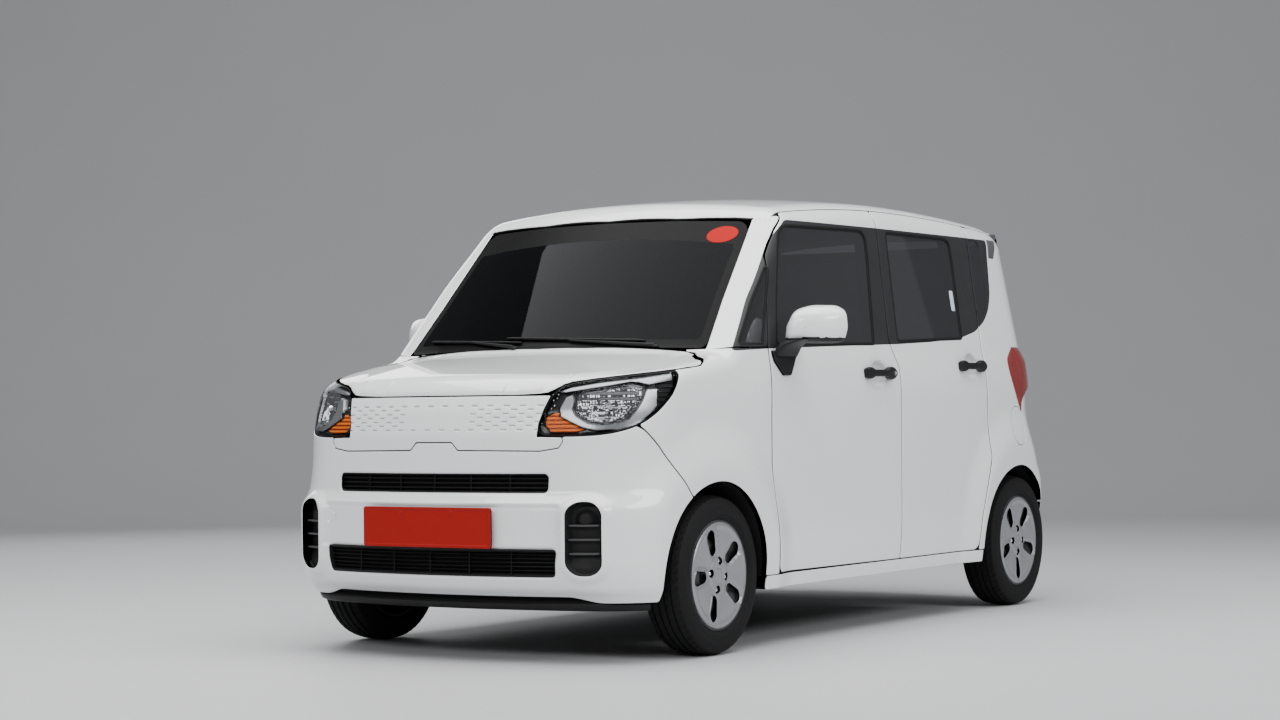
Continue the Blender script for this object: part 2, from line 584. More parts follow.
M = {
    "paint_white": material("paint_white", (0.86, 0.87, 0.88), 0.32, coat=1.0, coat_rough=0.02, var=0.008, scale=6, rvar=0.03, bump=0.02, bscale=900),
    "paint_grey": material("paint_grey", (0.42, 0.425, 0.43), 0.4, coat=0.3, coat_rough=0.05, var=0.02, bump=0.02, bscale=900),
    "plate_blank": material("plate_blank", (0.62, 0.63, 0.62), 0.45, spec=0.3, var=0.03, bump=0.05, bscale=600),
    "paint_inner": material("paint_inner", (0.74, 0.75, 0.76), 0.4, coat=0.4, var=0.03, bump=0.05, bscale=500),
    "black_trim": material("black_trim", (0.020, 0.021, 0.022), 0.45, coat=0.0, coat_rough=0.3, spec=0.28, var=0.15, bump=0.05, bscale=1200),
    "gloss_black": material("gloss_black", (0.008, 0.008, 0.0085), 0.22, coat=0.25, coat_rough=0.06, spec=0.35, var=0.15, bump=0.02, bscale=900),
    "black_plastic": material("black_plastic", (0.010, 0.010, 0.0105), 0.5, spec=0.22, var=0.2, bump=0.35, bscale=1600),
    "deep_black": material("deep_black", (0.004, 0.004, 0.0045), 0.75, var=0.3, bump=0.2, bscale=700, spec=0.2),
    "liner": material("liner", (0.02, 0.02, 0.021), 0.85, var=0.25, bump=0.5, bscale=300, spec=0.2),
    "rubber_seal": material("rubber_seal", (0.007, 0.007, 0.007), 0.6, spec=0.15, var=0.2, bump=0.15, bscale=900),
    "cabin_plastic": material("cabin_plastic", (0.045, 0.045, 0.048), 0.6, var=0.15, bump=0.4, bscale=1400),
    "cabin_light": material("cabin_light", (0.30, 0.29, 0.275), 0.75, var=0.08, bump=0.3, bscale=900),
    "carpet": material("carpet", (0.03, 0.03, 0.032), 0.95, var=0.35, scale=250, bump=0.9, bscale=900, spec=0.1),
    "seat_fabric": material("seat_fabric", (0.055, 0.055, 0.060), 0.9, var=0.25, scale=300, bump=0.8, bscale=1500, spec=0.2, sheen=0.3),
    "chrome": material("chrome", (0.75, 0.76, 0.77), 0.10, metal=1.0, var=0.03, rvar=0.04),
    "lamp_silver": material("lamp_silver", (0.36, 0.37, 0.38), 0.30, metal=0.85, var=0.04, rvar=0.05),
    "cover_silver": material("cover_silver", (0.30, 0.305, 0.318), 0.34, metal=0.5, coat=0.25, coat_rough=0.12, var=0.02, scale=12, rvar=0.02, bump=0.0),
    "tyre_rubber": material("tyre_rubber", (0.011, 0.011, 0.0115), 0.70, var=0.25, scale=60, bump=0.25, bscale=700, spec=0.12),
    "steel_dark": material("steel_dark", (0.06, 0.06, 0.062), 0.5, metal=0.7, var=0.25, scale=40, bump=0.3, bscale=500),
    "iron": material("iron", (0.10, 0.10, 0.105), 0.6, metal=0.6, var=0.3, scale=25, bump=0.5, bscale=220),
    "amber": material("amber", (0.90, 0.15, 0.012), 0.35, var=0.30, scale=160, bump=0.5, bscale=260, spec=0.12),
    "lamp_red": material("lamp_red", (0.20, 0.012, 0.010), 0.22, coat=0.7, coat_rough=0.03, var=0.20, scale=90, bump=0.12, bscale=330),
    "plate_red": material("plate_red", (0.33, 0.010, 0.009), 0.42, spec=0.15, var=0.05, scale=30, bump=0.03, bscale=600),
    "sticker_red": material("sticker_red", (0.42, 0.012, 0.012), 0.5, spec=0.04, var=0.05, scale=50),
    "sticker_white": material("sticker_white", (0.60, 0.68, 0.78), 0.4, var=0.08, scale=70),
    "mirror_face": material("mirror_face", (0.80, 0.82, 0.84), 0.04, metal=1.0, var=0.02, rvar=0.02),
    "g_windshield": glassy("g_windshield", (0.055, 0.057, 0.060), mix=0.35, base=(0.004, 0.004, 0.0045), refl=1.13),
    "g_side": glassy("g_side", (0.12, 0.125, 0.13), mix=0.35, base=(0.045, 0.047, 0.050), refl=1.42),
    "g_rear": glassy("g_rear", (0.09, 0.094, 0.098), mix=0.45, base=(0.045, 0.047, 0.050), refl=1.42),
    "g_lamp": glassy("g_lamp", (0.95, 0.96, 0.97), rough=0.01, mix=0.0, refl=1.10),
}


def banded(m, scale, dark, light):
    """Fine level ribs across a lens: two tones in even bands."""
    nt = m.node_tree
    tc = nt.nodes.new("ShaderNodeTexCoord")
    wv = nt.nodes.new("ShaderNodeTexWave")
    wv.bands_direction = "Z"
    wv.inputs["Scale"].default_value = scale
    wv.inputs["Distortion"].default_value = 0.4
    mx = nt.nodes.new("ShaderNodeMix")
    mx.data_type = "RGBA"
    mx.inputs[6].default_value = (*dark, 1)
    mx.inputs[7].default_value = (*light, 1)
    nt.links.new(tc.outputs["Object"], wv.inputs["Vector"])
    nt.links.new(wv.outputs["Fac"], mx.inputs[0])
    nt.links.new(mx.outputs[2], nt.nodes["Principled BSDF"].inputs["Base Color"])


banded(M["amber"], 23.0, (0.16, 0.012, 0.002), (0.95, 0.20, 0.02))


def finish_piece(ob, body, nodes=()):
    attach(ob, body)
    if nodes:
        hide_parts(*nodes)
    return ob


# ------------------------------------------------------------------ body panels
def door_t(z):
    return 86.0 - 40.0 * ss(960, 1090, z)


def ell(y, z, yc, zc, ry, rz):
    return np.hypot((y - yc) / ry, (z - zc) / rz)


def scoop(y, z, yc, zc, ry, rz, d):
    return d * (1 - ss(0.45, 1.0, ell(y, z, yc, zc, ry, rz)))


def dlo(x, y, z):
    return sdf(DLO, y, z)


def edge_in(poly, d, u, v):
    return sdf(poly, u, v) - d


W = M["paint_white"]
B = M["black_trim"]
T = M["cabin_plastic"]


BOWL_F, BOWL_R = (82.0, 977.0, 72.0, 57.0), (934.0, 1016.0, 64.0, 56.0)


def bowl_g(b, y, z):
    return (np.hypot((y - b[0]) / b[2], (z - b[1]) / b[3]) - 1.0) * b[3]


def fdoor_g(x, y, z):
    return np.minimum(np.minimum(np.minimum(edge_in(DOOR_F, 3.0, y, z), -sdf(WIN_F, y, z)), x - 647.0), bowl_g(BOWL_F, y, z))


def rdoor_g(x, y, z):
    return np.minimum(np.minimum(np.minimum(edge_in(DOOR_R, 3.0, y, z), -sdf(WIN_R, y, z)), x - 647.0), bowl_g(BOWL_R, y, z))


def dish(y, z, yc, zc, ry, rz):
    """Shallow ring round the bowl behind a door handle."""
    return 2.0 * (1 - ss(0.95, 1.35, ell(y, z, yc, zc, ry, rz)))


def fdoor_disp(x, y, z):
    return dish(y, z, *BOWL_F)


def rdoor_disp(x, y, z):
    return dish(y, z, *BOWL_R)


fd = panel("v_front_door_left", rx, (-800, 270), (255, 1660), fdoor_g, [W, B, T], step=(9.5, 9.5), disp=fdoor_disp, split=dlo, inner=lambda x, y, z: door_t(z), slant=(-1, -0.15, 0), inner_mat=2, extra=[lambda x, y, z: 1.4 - ell(y, z, *BOWL_F)])
rd = panel("v_rear_door_left", rx, (190, 1146), (255, 1660), rdoor_g, [W, B, T], step=(9.5, 9.5), disp=rdoor_disp, split=dlo, inner=lambda x, y, z: door_t(z), slant=(-1, -0.15, 0), inner_mat=2, extra=[lambda x, y, z: 1.4 - ell(y, z, *BOWL_R)])
fdr, rdr = mirrored(fd, "v_front_door_right"), mirrored(rd, "v_sliding_door_right")
finish_piece(fd, "front_door_left", ["front_door_left"])
finish_piece(rd, "rear_door_left", ["rear_door_left"])
finish_piece(fdr, "front_door_right", ["front_door_right"])
finish_piece(rdr, "body", ["sliding_door_right"])

roof = panel("v_roof", r_z, (-650, 650), (-650, 1510), lambda x, y, z: sdf(ROOF_PLAN, x, y), [W], step=(12, 12), coarse=3, wall=20)
finish_piece(roof, "body", ["roof"])


def hood_g(x, y, z):
    return smin(sdf(HOOD_UP, y, z), sdf(HOOD_PLAN, x, y), 4)


hood = panel("v_hood", r_h, (-752, 752), (12, 99), hood_g, [W, M["paint_inner"]], step=(11, 1.2), coarse=2, roll=2.5, inner=lambda x, y, z: 16.0 + 0 * x, inner_mat=1, uscale=1.0)
finish_piece(hood, "hood", ["hood"])


def fender_g(x, y, z):
    return np.minimum(np.minimum(sdf(FENDER, y, z), arch_f(y, z)), lamp_out(x, y, z) - 3.5)


fe = panel("v_front_fender_left", rx, (-1575, -750), (250, 1084), fender_g, [W, B], step=(7, 7), split=dlo, wall=20)
fer = mirrored(fe, "v_front_fender_right")
finish_piece(fe, "body", ["front_fenders"])
finish_piece(fer, "body", ["front_fenders"])


def pillar_g(x, y, z):
    a = np.minimum(sdf(PILLAR_FRONT, x, z), -edge_in(DOOR_F, -3.0, y, z))
    return np.minimum(a, -sdf(WIN_T, y, z))


pi = panel("v_a_pillar_left", r_pp, (33, 69), (1052, 1575), pillar_g, [W, B], step=(5, 6), split=dlo, wall=45, uscale=14.0, coarse=1)
pir = mirrored(pi, "v_a_pillar_right")
finish_piece(pi, "body", ["a_pillars"])
finish_piece(pir, "body", ["a_pillars"])


def bumper_ok(y, z):
    """Positive in front of the line between bumper and fender."""
    line = round_poly([(-2100, 100), (-1300, 100), (-1300, 530)] + [(p[0] - 2, p[1] - 2) for p in reversed(BUMPER_LINE)] + [(-1600, 900), (-2100, 900)])
    return sdf(line, y, z)


def bumper_g(x, y, z):
    ax = np.abs(x)
    g = np.minimum(-sdf(NOSE, x, z) - 3.0, lamp_out(ax, y, z) - 3.5)
    phi = np.degrees(np.arctan2(ax, -(y + 900.0)))
    g = np.minimum(g, np.minimum(766.0 + 60.0 * ss(34, 38, phi) - z, z - 205.0 - 20.0 * ss(600, 490, ax)))
    g = np.minimum(g, np.minimum(bumper_ok(y, z), arch_f(y, z)))
    for p in (GRILLE_UP, GRILLE_LOW):
        g = np.minimum(g, -sdf(p, x, z))
    return np.minimum(g, -sdf(FOG, ax, z))


PLATE_BAND = round_poly([(-505, 380, 8), (-505, 541, 16), (505, 541, 16), (505, 380, 8)])


def bumper_disp(x, y, z):
    ax = np.abs(x)
    f = -sdf(FOG, ax, z)
    d = -13.0 * ss(34, 7, f) * (f > -5)
    rec = sdf(PLATE_BAND, x, z)
    d = d + 10.0 * ss(0, 13, rec) + 16.0 * ss(290, 225, z) * ss(640, 520, ax)
    gl = -sdf(GRILLE_LOW, x, z)
    d = d + 9.0 * ss(9, 0, gl) * (ax < 500)
    gu = -sdf(GRILLE_UP, x, z)
    d = d + 5.0 * ss(7, 0, gu)
    ring = np.hypot(x + 478, z - 486)
    return d + 1.6 * ss(2.6, 0.6, np.abs(ring - 21))


bu = panel("v_front_bumper", r_pf, (-68, 68), (198, 832), bumper_g, [W], step=(6.5, 6.5), disp=bumper_disp, wall=34, uscale=14.0, extra=[lambda x, y, z: 45 + sdf(FOG, np.abs(x), z), lambda x, y, z: 22 - np.abs(sdf(PLATE_BAND, x, z)), lambda x, y, z: 26 - np.hypot(x + 478, z - 486)])
finish_piece(bu, "body", ["front_bumper"])

DASHES = []
rows = [(869, 0), (856, 1), (842, 0), (829, 1), (815, 0), (802, 1), (788, 0)]
for k, (zz, odd) in enumerate(rows):
    for sx in (-1, 1):
        for j in range(5):
            xx = sx * (150 + 62 * j + (31 if odd else 0))
            if abs(xx) < 425:
                DASHES.append((xx, zz))
for zz in (869, 788):
    for xx in (-93, -31, 31, 93):
        DASHES.append((xx, zz))


def dash_field(x, z):
    f = np.full(np.shape(x), 1e9)
    for cx, cz in DASHES:
        f = np.minimum(f, np.hypot(np.maximum(np.abs(x - cx) - 10.5, 0), z - cz))
    return f


def nose_g(x, y, z):
    return sdf(NOSE, x, z) - 1.0


nose = panel("v_nose_panel", r_y, (-500, 500), (712, 912), nose_g, [W, M["paint_grey"]], step=(5.0, 2.2), coarse=1, split=lambda x, y, z: 1.9 - dash_field(x, z), disp=lambda x, y, z: 2.4 * ss(3.4, 1.2, dash_field(x, z)), wall=24)
finish_piece(nose, "body", ["nose_panel"])


def sill_g(x, y, z):
    return np.minimum(np.minimum(np.minimum(256.0 - z, z - 208.0), np.minimum(y + 862.0, 978.0 - y)), np.minimum(arch_f(y, z), arch_r(y, z)))


si = panel("v_sill_left", rx, (-880, 1000), (200, 262), sill_g, [W], step=(12, 5), coarse=2, wall=60)
sir = mirrored(si, "v_sill_right")
finish_piece(si, "body", ["sills"])
finish_piece(sir, "body", ["sills"])


def quarter_base(x, y, z):
    g = np.minimum(sdf(QUARTER, y, z), arch_r(y, z))
    g = np.minimum(g, -sdf(TAILGATE, x, z) - 3.0)
    tl = np.minimum(sdf(TAIL_LAMP, x, z), sdf(TL_SIDE, y, z))
    return np.minimum(np.minimum(g, -tl - 2.0), -sdf(WIN_Q, y, z))


def quarter_lg(x, y, z):
    return np.minimum(quarter_base(x, y, z), -sdf(FLAP, y, z) - 2.5)


RAIL = round_poly([(1079, 972, 8), (1470, 972, 8), (1470, 996, 8), (1079, 996, 8)])


def quarter_rg(x, y, z):
    return np.minimum(quarter_base(x, y, z), -sdf(RAIL, y, z))


ql = panel("v_quarter_left", r_pr, (30, 79), (250, 1612), quarter_lg, [W, B], step=(7, 8), split=dlo, wall=30, uscale=15.0)
qr_ = panel("tmp_quarter", r_pr, (30, 79), (250, 1612), quarter_rg, [W, B], step=(7, 8), split=dlo, wall=30, uscale=15.0)
qr = mirrored(qr_, "v_quarter_right")
bpy.data.objects.remove(qr_)
finish_piece(ql, "body", ["quarter_panel_left"])
finish_piece(qr, "body", ["quarter_panel_right"])


def gate_g(x, y, z):
    return np.minimum(sdf(TAILGATE, x, z), -sdf(WIN_B, x, z))


def gate_split(x, y, z):
    return sdf(round_poly([(-560, 1108, 70), (-568, 1340, 200), (-540, 1546, 60), (540, 1546, 60), (568, 1340, 200), (560, 1108, 70)]), x, z)


PLATE_REC = round_poly([(-310, 720, 20), (-310, 905, 20), (310, 905, 20), (310, 720, 20)])
ga = panel("v_tailgate", r_yr, (-612, 612), (606, 1574), gate_g, [W, B, T], step=(10, 10), split=gate_split, disp=lambda x, y, z: 14 * ss(0, 26, sdf(PLATE_REC, x, z)), inner=lambda x, y, z: 60 - 26 * ss(960, 1130, z), inner_mat=2, extra=[lambda x, y, z: 30 - np.abs(sdf(PLATE_REC, x, z))])
finish_piece(ga, "tailgate", ["tailgate"])


def spoiler_base(u, v):
    """(x, share of depth) on the roof spoiler's top."""
    v = v / 190.0
    y = 1509.0 + v * (1697.0 - u * u / 6500.0 - 1509.0)
    z = roof_z(u, y) + 10 * ss(0.3, 1.0, v) - 14 * ss(0.82, 1.0, v) - 26 * ss(500, 600, np.abs(u))
    return u, y, z, 0 * u, 0 * u, 1.0 + 0 * u


sp = panel("v_spoiler", None, (-574, 574), (-3, 193), lambda x, y, z: np.minimum(np.minimum(571 - np.abs(x), y - 1510), (1696.0 - x * x / 6500.0) - y), [W, M["black_plastic"]], step=(9, 7), coarse=2, base=spoiler_base, inner=lambda x, y, z: 34 + 22 * ss(0.2, 0.6, (y - 1509) / 185) - 40 * ss(0.5, 1.0, (y - 1509) / 185), inner_mat=1)
finish_piece(sp, "tailgate", ["roof_spoiler"])


def rb_g(x, y, z):
    keep = sdf(round_poly([(1640, 200), (1640, 560), (1560, 603), (2000, 603), (2000, 200)]), y, z)
    return np.minimum(np.minimum(keep, z - 205), arch_r(y, z))


rbp = panel("v_rear_bumper", r_pr, (-53, 53), (198, 610), rb_g, [W], step=(8, 8), wall=34, uscale=15.0, disp=lambda x, y, z: 5 * ss(0, 14, sdf(round_poly([(-420, 250, 20), (-420, 330, 20), (420, 330, 20), (420, 250, 20)]), x, z)))
finish_piece(rbp, "body", ["rear_bumper"])
fl = panel("v_fuel_door", rx, (1298, 1448), (677, 859), lambda x, y, z: sdf(FLAP, y, z), [W], step=(5, 5), coarse=1, wall=3, roll=1.2)
finish_piece(fl, "fuel_door", ["fuel_door"])


# ------------------------------------------------------------------ helpers for detail pieces (points in millimetres)
def raw(name, verts, faces, mats, mat_index=None, smooth=True):
    ob = new_object(name, verts, faces, None, mats, mat_index, smooth)
    store[name] = {}
    return ob


class Mesh:
    """Collects faces with material numbers into one mesh."""
    def __init__(self):
        self.v, self.f, self.m, self.n = [], [], [], 0

    def add(self, verts, faces, mat=0):
        verts = np.asarray(verts, float).reshape(-1, 3)
        self.v.append(verts)
        self.f += [tuple(int(i) + self.n for i in f) for f in faces]
        self.m += [mat] * len(faces) if np.isscalar(mat) else list(mat)
        self.n += len(verts)
        return self

    def grid(self, pts, mat=0, closed_u=False, closed_v=False, flip=False):
        """pts[i, j] a grid of points."""
        a, b = pts.shape[:2]
        fs = []
        for i in range(a if closed_u else a - 1):
            for j in range(b if closed_v else b - 1):
                q = (i * b + j, ((i + 1) % a) * b + j, ((i + 1) % a) * b + (j + 1) % b, i * b + (j + 1) % b)
                fs.append(q[::-1] if flip else q)
        return self.add(pts.reshape(-1, 3), fs, mat)

    def cap(self, ring, mat=0, flip=False):
        n = len(ring)
        c = np.mean(ring, 0)
        fs = [((i + 1) % n, i, n) if flip else (i, (i + 1) % n, n) for i in range(n)]
        return self.add(np.vstack([ring, c]), fs, mat)

    def box(self, lo, hi, mat=0, r=2.0, rot=None, about=None):
        """A block with chamfered edges."""
        lo, hi = np.array(lo, float), np.array(hi, float)
        r = min(r, *(0.45 * (hi - lo)))
        c, h = (lo + hi) / 2, (hi - lo) / 2
        pts, idx = [], {}
        for sx in (-1, 1):
            for sy in (-1, 1):
                for sz in (-1, 1):
                    s = np.array([sx, sy, sz])
                    for ax in range(3):
                        d = h - r
                        d[ax] = h[ax]
                        idx[(sx, sy, sz, ax)] = len(pts)
                        pts.append(c + s * d)
        fs = []
        for ax in range(3):
            o = [a for a in range(3) if a != ax]
            for s in (-1, 1):
                q = []
                for a, b in ((-1, -1), (1, -1), (1, 1), (-1, 1)):
                    k = [0, 0, 0]
                    k[ax], k[o[0]], k[o[1]] = s, a, b
                    q.append(idx[(*k, ax)])
                fs.append(q)
            for a in (-1, 1):
                for b in (-1, 1):
                    k0, k1 = [0, 0, 0], [0, 0, 0]
                    k0[ax], k1[ax] = -1, 1
                    for k in (k0, k1):
                        k[o[0]], k[o[1]] = a, b
                    fs.append([idx[(*k0, o[0])], idx[(*k1, o[0])], idx[(*k1, o[1])], idx[(*k0, o[1])]])
        for sx in (-1, 1):
            for sy in (-1, 1):
                for sz in (-1, 1):
                    fs.append([idx[(sx, sy, sz, a)] for a in range(3)])
        P = np.array(pts)
        out = []
        for f in fs:
            p = P[list(f)]
            n = np.cross(p[1] - p[0], p[2] - p[0])
            out.append(f if n @ (p.mean(0) - c) > 0 else f[::-1])
        if rot is not None:
            ab = c if about is None else np.array(about, float)
            P = (P - ab) @ np.array(rot).T + ab
        return self.add(P, out, mat)

    def tube(self, path, r, mat=0, seg=10, caps=True, squash=None):
        """A round bar along a path; r a number or one per point."""
        P = np.array(path, float)
        n = len(P)
        r = np.full(n, float(r)) if np.isscalar(r) else np.array(r, float)
        t = np.gradient(P, axis=0)
        t /= np.linalg.norm(t, axis=1, keepdims=True)
        a = np.cross(t[0], [0.0, 0.0, 1.0])
        if np.linalg.norm(a) < 0.1:
            a = np.cross(t[0], [0.0, 1.0, 0.0])
        rings = []
        for i in range(n):
            a = a - t[i] * (a @ t[i])
            a /= np.linalg.norm(a)
            b = np.cross(t[i], a)
            w = np.linspace(0, 2 * math.pi, seg, endpoint=False)
            rings.append(P[i] + r[i] * (np.outer(np.cos(w), a) + np.outer(np.sin(w), b)))
        self.grid(np.array(rings), mat, closed_v=True, flip=True)
        if caps:
            self.cap(rings[0], mat, flip=False)
            self.cap(rings[-1], mat, flip=True)
        return self

    def turn(self, prof, c, axis="x", mat=0, seg=48, a0=0.0, a1=2 * math.pi, s=1.0):
        """Turns (along, radius) points about an axis through c; s = -1 turns it the other way round."""
        full = abs(a1 - a0 - 2 * math.pi) < 1e-6
        w = np.linspace(a0, a1, seg, endpoint=not full)
        pr = np.array(prof, float)
        A, R = pr[:, 0][:, None] * s, pr[:, 1][:, None]
        o = 0 * w[None, :]
        if axis == "x":
            pts = np.stack([c[0] + A + o, c[1] + R * np.cos(w), c[2] + R * np.sin(w)], -1)
        elif axis == "y":
            pts = np.stack([c[0] + R * np.cos(w), c[1] + A + o, c[2] + R * np.sin(w)], -1)
        else:
            pts = np.stack([c[0] + R * np.cos(w), c[1] + R * np.sin(w), c[2] + A + o], -1)
        return self.grid(pts, mat, closed_v=full, flip=(s > 0) != (axis == "y"))

    def make(self, name, mats, smooth=True, angle=35.0, fix=False):
        V = np.vstack(self.v)
        ob = raw(name, V, self.f, mats, self.m, smooth)
        if fix:
            bm = bmesh.new()
            bm.from_mesh(ob.data)
            bmesh.ops.recalc_face_normals(bm, faces=bm.faces)
            bm.to_mesh(ob.data)
            bm.free()
        if smooth:
            sharp(ob, angle)
            store[name]["angle"] = angle
        return ob


def chain(pts, n=6):
    """A smooth line through points."""
    P = np.array(pts, float)
    out = []
    for i in range(len(P) - 1):
        p0, p1, p2, p3 = P[max(i - 1, 0)], P[i], P[i + 1], P[min(i + 2, len(P) - 1)]
        for k in range(n):
            t = k / n
            out.append(0.5 * ((2 * p1) + (p2 - p0) * t + (2 * p0 - 5 * p1 + 4 * p2 - p3) * t * t + (3 * p1 - p0 - 3 * p2 + p3) * t ** 3))
    out.append(P[-1])
    return np.array(out)


def skin(ray, u, v, depth=0.0):
    u, v = np.asarray(u, float), np.asarray(v, float)
    o, d = ray(u, v)
    t = hit(o, d) - depth
    return np.stack([o[0] + d[0] * t, o[1] + d[1] * t, o[2] + d[2] * t], -1)


def pane(name, ray, ur, vr, g, mat, inset=4.0, uscale=1.0, step=(12, 12), band=None, bmat=None, thick=3.0):
    return panel(name, ray, ur, vr, g, [mat, bmat or mat], step=step, coarse=2, roll=0, wall=thick, inset=inset, uscale=uscale, split=band)


# ------------------------------------------------------------------ wheels: tyre, steel rim with barrel, plastic cover
def polar_g(a, r, ang, r0, r1, half):
    """Distance inside a round-ended slot that lies along a radius at ang."""
    da = (a - ang + math.pi) % (2 * math.pi) - math.pi
    px, py = r * np.cos(da), r * np.sin(da)
    m0, m1 = r0 + half, r1 - half
    t = np.clip((px - m0) / (m1 - m0), 0, 1)
    cx = m0 + (m1 - m0) * t
    hw = half * (0.86 + 0.28 * t)
    return hw - np.hypot(px - cx, py)


def wheel_cover(name, c, s, slots, lugs):
    """Plastic wheel cover: a dished disc with five slots, a raised swirl beside each, and four nut domes."""
    def geo(y, z):
        a, r = np.arctan2(z - c[2], (y - c[1])), np.hypot(y - c[1], z - c[2])
        return a, r

    def g(x, y, z):
        a, r = geo(y, z)
        f = 192.0 - r
        for w in slots:
            f = np.minimum(f, -polar_g(a, r, w, 70, 162, 23.0))
        for w in lugs:
            f = np.minimum(f, np.hypot(y - c[1] - 50 * np.cos(w), z - c[2] - 50 * np.sin(w)) - 14.5)
        return f

    def disp(x, y, z):
        a, r = geo(y, z)
        d = 2.0 * ss(192, 186, r) * 0 + 5.0 * ss(178, 192, r) - 3.0 * np.exp(-((r - 172.0) / 9.0) ** 2)
        d = d + 7.0 * ss(165, 20, r) + 5.0 * ss(40, 0, r) * 0
        d = d - 5.0 * ss(64, 52, r) + 1.6 * ss(34, 30, r) * ss(20, 24, r)
        sl = np.full(np.shape(r), -1e9)
        for w in slots:
            gsl = polar_g(a, r, w, 70, 162, 23.0)
            sl = np.maximum(sl, gsl)
            da = (a - w + math.pi) % (2 * math.pi) - math.pi
            # the swirl: a ridge running along one flank of the slot and round its outer end
            q = np.abs(gsl + 7.5)
            side = ss(-0.10, 0.16, -s * da * 1.0 + 0.02) * ss(66, 92, r)
            d = d - 6.0 * np.exp(-(q / 4.2) ** 2) * side
            d = d + 4.0 * ss(-14, 0, gsl)
        return d
    ob = None
    x0 = c[0] + s * 74.0

    def base(u, v):
        return x0 + 0 * u, c[1] + u, c[2] + v, s * 1.0 + 0 * u, 0 * u, 0 * u
    return panel(name, None, (-194, 194), (-194, 194), g, [M["cover_silver"]], step=(4.4, 4.4), coarse=2, base=base, disp=disp, roll=1.2, wall=7.0, extra=[lambda x, y, z: 175 - geo(y, z)[1]])


def tyre(name, c):
    """A tyre with a beaded side wall, lettering-free ridges and a tread of ribs, grooves and slanted cuts."""
    prof = [(-67, 181), (-68.5, 189), (-72, 195.5), (-76, 201), (-78.5, 206), (-79.0, 209), (-80.8, 210.5), (-81.3, 216), (-80.8, 226), (-80.0, 230), (-80.6, 231.5), (-80.4, 236), (-79.2, 243), (-76.8, 251), (-73.4, 259), (-71.5, 263), (-69.3, 266.3), (-66.5, 268.6)]
    tread_x = [-64.5, -60, -55, -48, -44.6, -44, -37.5, -37, -36, -24, -16.5, -16, -9.5, -9, -7, 0]
    half = [(x, 0) for x in tread_x]
    xs = [p[0] for p in prof] + tread_x + [-x for x in reversed(tread_x[:-1])] + [-p[0] for p in reversed(prof)]
    rs = [p[1] for p in prof]
    seg = 240
    w = np.linspace(0, 2 * math.pi, seg, endpoint=False)
    X = np.array(xs, float)[:, None] + 0 * w[None, :]
    crown = lambda x: 277.0 - 0.00075 * x * x - 0.00000028 * x ** 4
    R = np.zeros_like(X)
    k = len(prof)
    m = len(xs)
    R[:k] = np.array(rs)[:, None]
    R[m - k:] = np.array(rs[::-1])[:, None]
    tx = X[k:m - k]
    R[k:m - k] = crown(tx)
    ph = w[None, :] * 60 / (2 * math.pi)
    ax = np.abs(tx)
    groove = ((ax > 9.3) & (ax < 16.2)) | ((ax > 37.3) & (ax < 44.3))
    dep = np.where(groove, 6.5, 0.0)
    cut1 = (((ph + 0.018 * tx) % 1.0) < 0.25) & (ax >= 46) & (ax <= 66)
    cut2 = (((ph + 0.5 + 0.030 * tx) % 1.0) < 0.25) & (ax >= 16.4) & (ax <= 30)
    dep = np.where(cut1, 4.5, np.where(cut2, 4.0, dep))
    R[k:m - k] -= dep
    # shoulder blocks
    for i in (k - 1, k - 2):
        cutp = (((ph + 0.018 * X[i]) % 1.0) < 0.25)
        R[i] -= np.where(cutp, 2.0, 0.0)[0] if cutp.ndim > 1 else np.where(cutp, 2.0, 0.0)
    for i in (m - k, m - k + 1):
        cutp = (((ph + 0.018 * X[i]) % 1.0) < 0.25)
        R[i] -= np.where(cutp, 2.0, 0.0)[0] if cutp.ndim > 1 else np.where(cutp, 2.0, 0.0)
    pts = np.stack([c[0] + X, c[1] + R * np.cos(w), c[2] + R * np.sin(w)], -1)
    me = Mesh()
    me.grid(pts, 0, closed_v=True, flip=True)
    # the inside
    inner = [(67, 181), (60, 186), (0, 190), (-60, 186), (-67, 181)]
    me.turn(inner, c, "x", 0, 90)
    return me.make(name, [M["tyre_rubber"]], angle=40, fix=True)


def rim_back(name, c, s, rear):
    """Steel barrel and disc behind the cover, with the brake behind it."""
    me = Mesh()
    barrel = [(72.5, 190.5), (73.4, 188), (72.6, 184), (66, 181), (56, 178), (50, 172), (40, 168), (20, 164), (0, 163), (-30, 166), (-48, 174), (-60, 178), (-69, 181), (-72.5, 184), (-73.5, 188), (-72.5, 190.5)]
    me.turn(barrel, c, "x", 0, 96, s=s)
    outer = [(-72.5, 190.5), (-69.5, 189), (-68, 181.2), (-50, 177), (50, 177), (68, 181.2), (69.5, 189), (72.5, 190.5)]
    me.turn(outer, c, "x", 0, 96, s=s)
    disc = [(52, 164), (46, 150), (40, 132), (48, 118), (52, 104), (46, 88), (40, 74), (40, 40), (46, 32), (60, 30), (64, 22), (64, 1)]
    me.turn(disc, c, "x", 0, 96, s=s)
    me.turn([(d - 4, r) for d, r in reversed(disc)], c, "x", 0, 96, s=s)
    ang0 = math.radians(81 if not rear else 90)
    for k in range(4):
        a = ang0 + k * math.pi / 2
        p = (c[0] + s * 40, c[1] + 50 * math.cos(a), c[2] + 50 * math.sin(a))
        me.turn([(0, 11.5), (16, 11.5), (21, 10.5), (25.5, 7.5), (27.5, 3.5), (28, 0.1)], p, "x", 1, 18, s=s)
    # valve
    a = math.radians(200)
    p = np.array([c[0] + s * 60, c[1] + 150 * math.cos(a), c[2] + 150 * math.sin(a)])
    me.tube([p, p + [s * 8, -2 * math.cos(a), -2 * math.sin(a)]], 3.2, 2, 8)
    ob = me.make(name, [M["steel_dark"], M["chrome"], M["rubber_seal"]], angle=35, fix=True)
    return ob


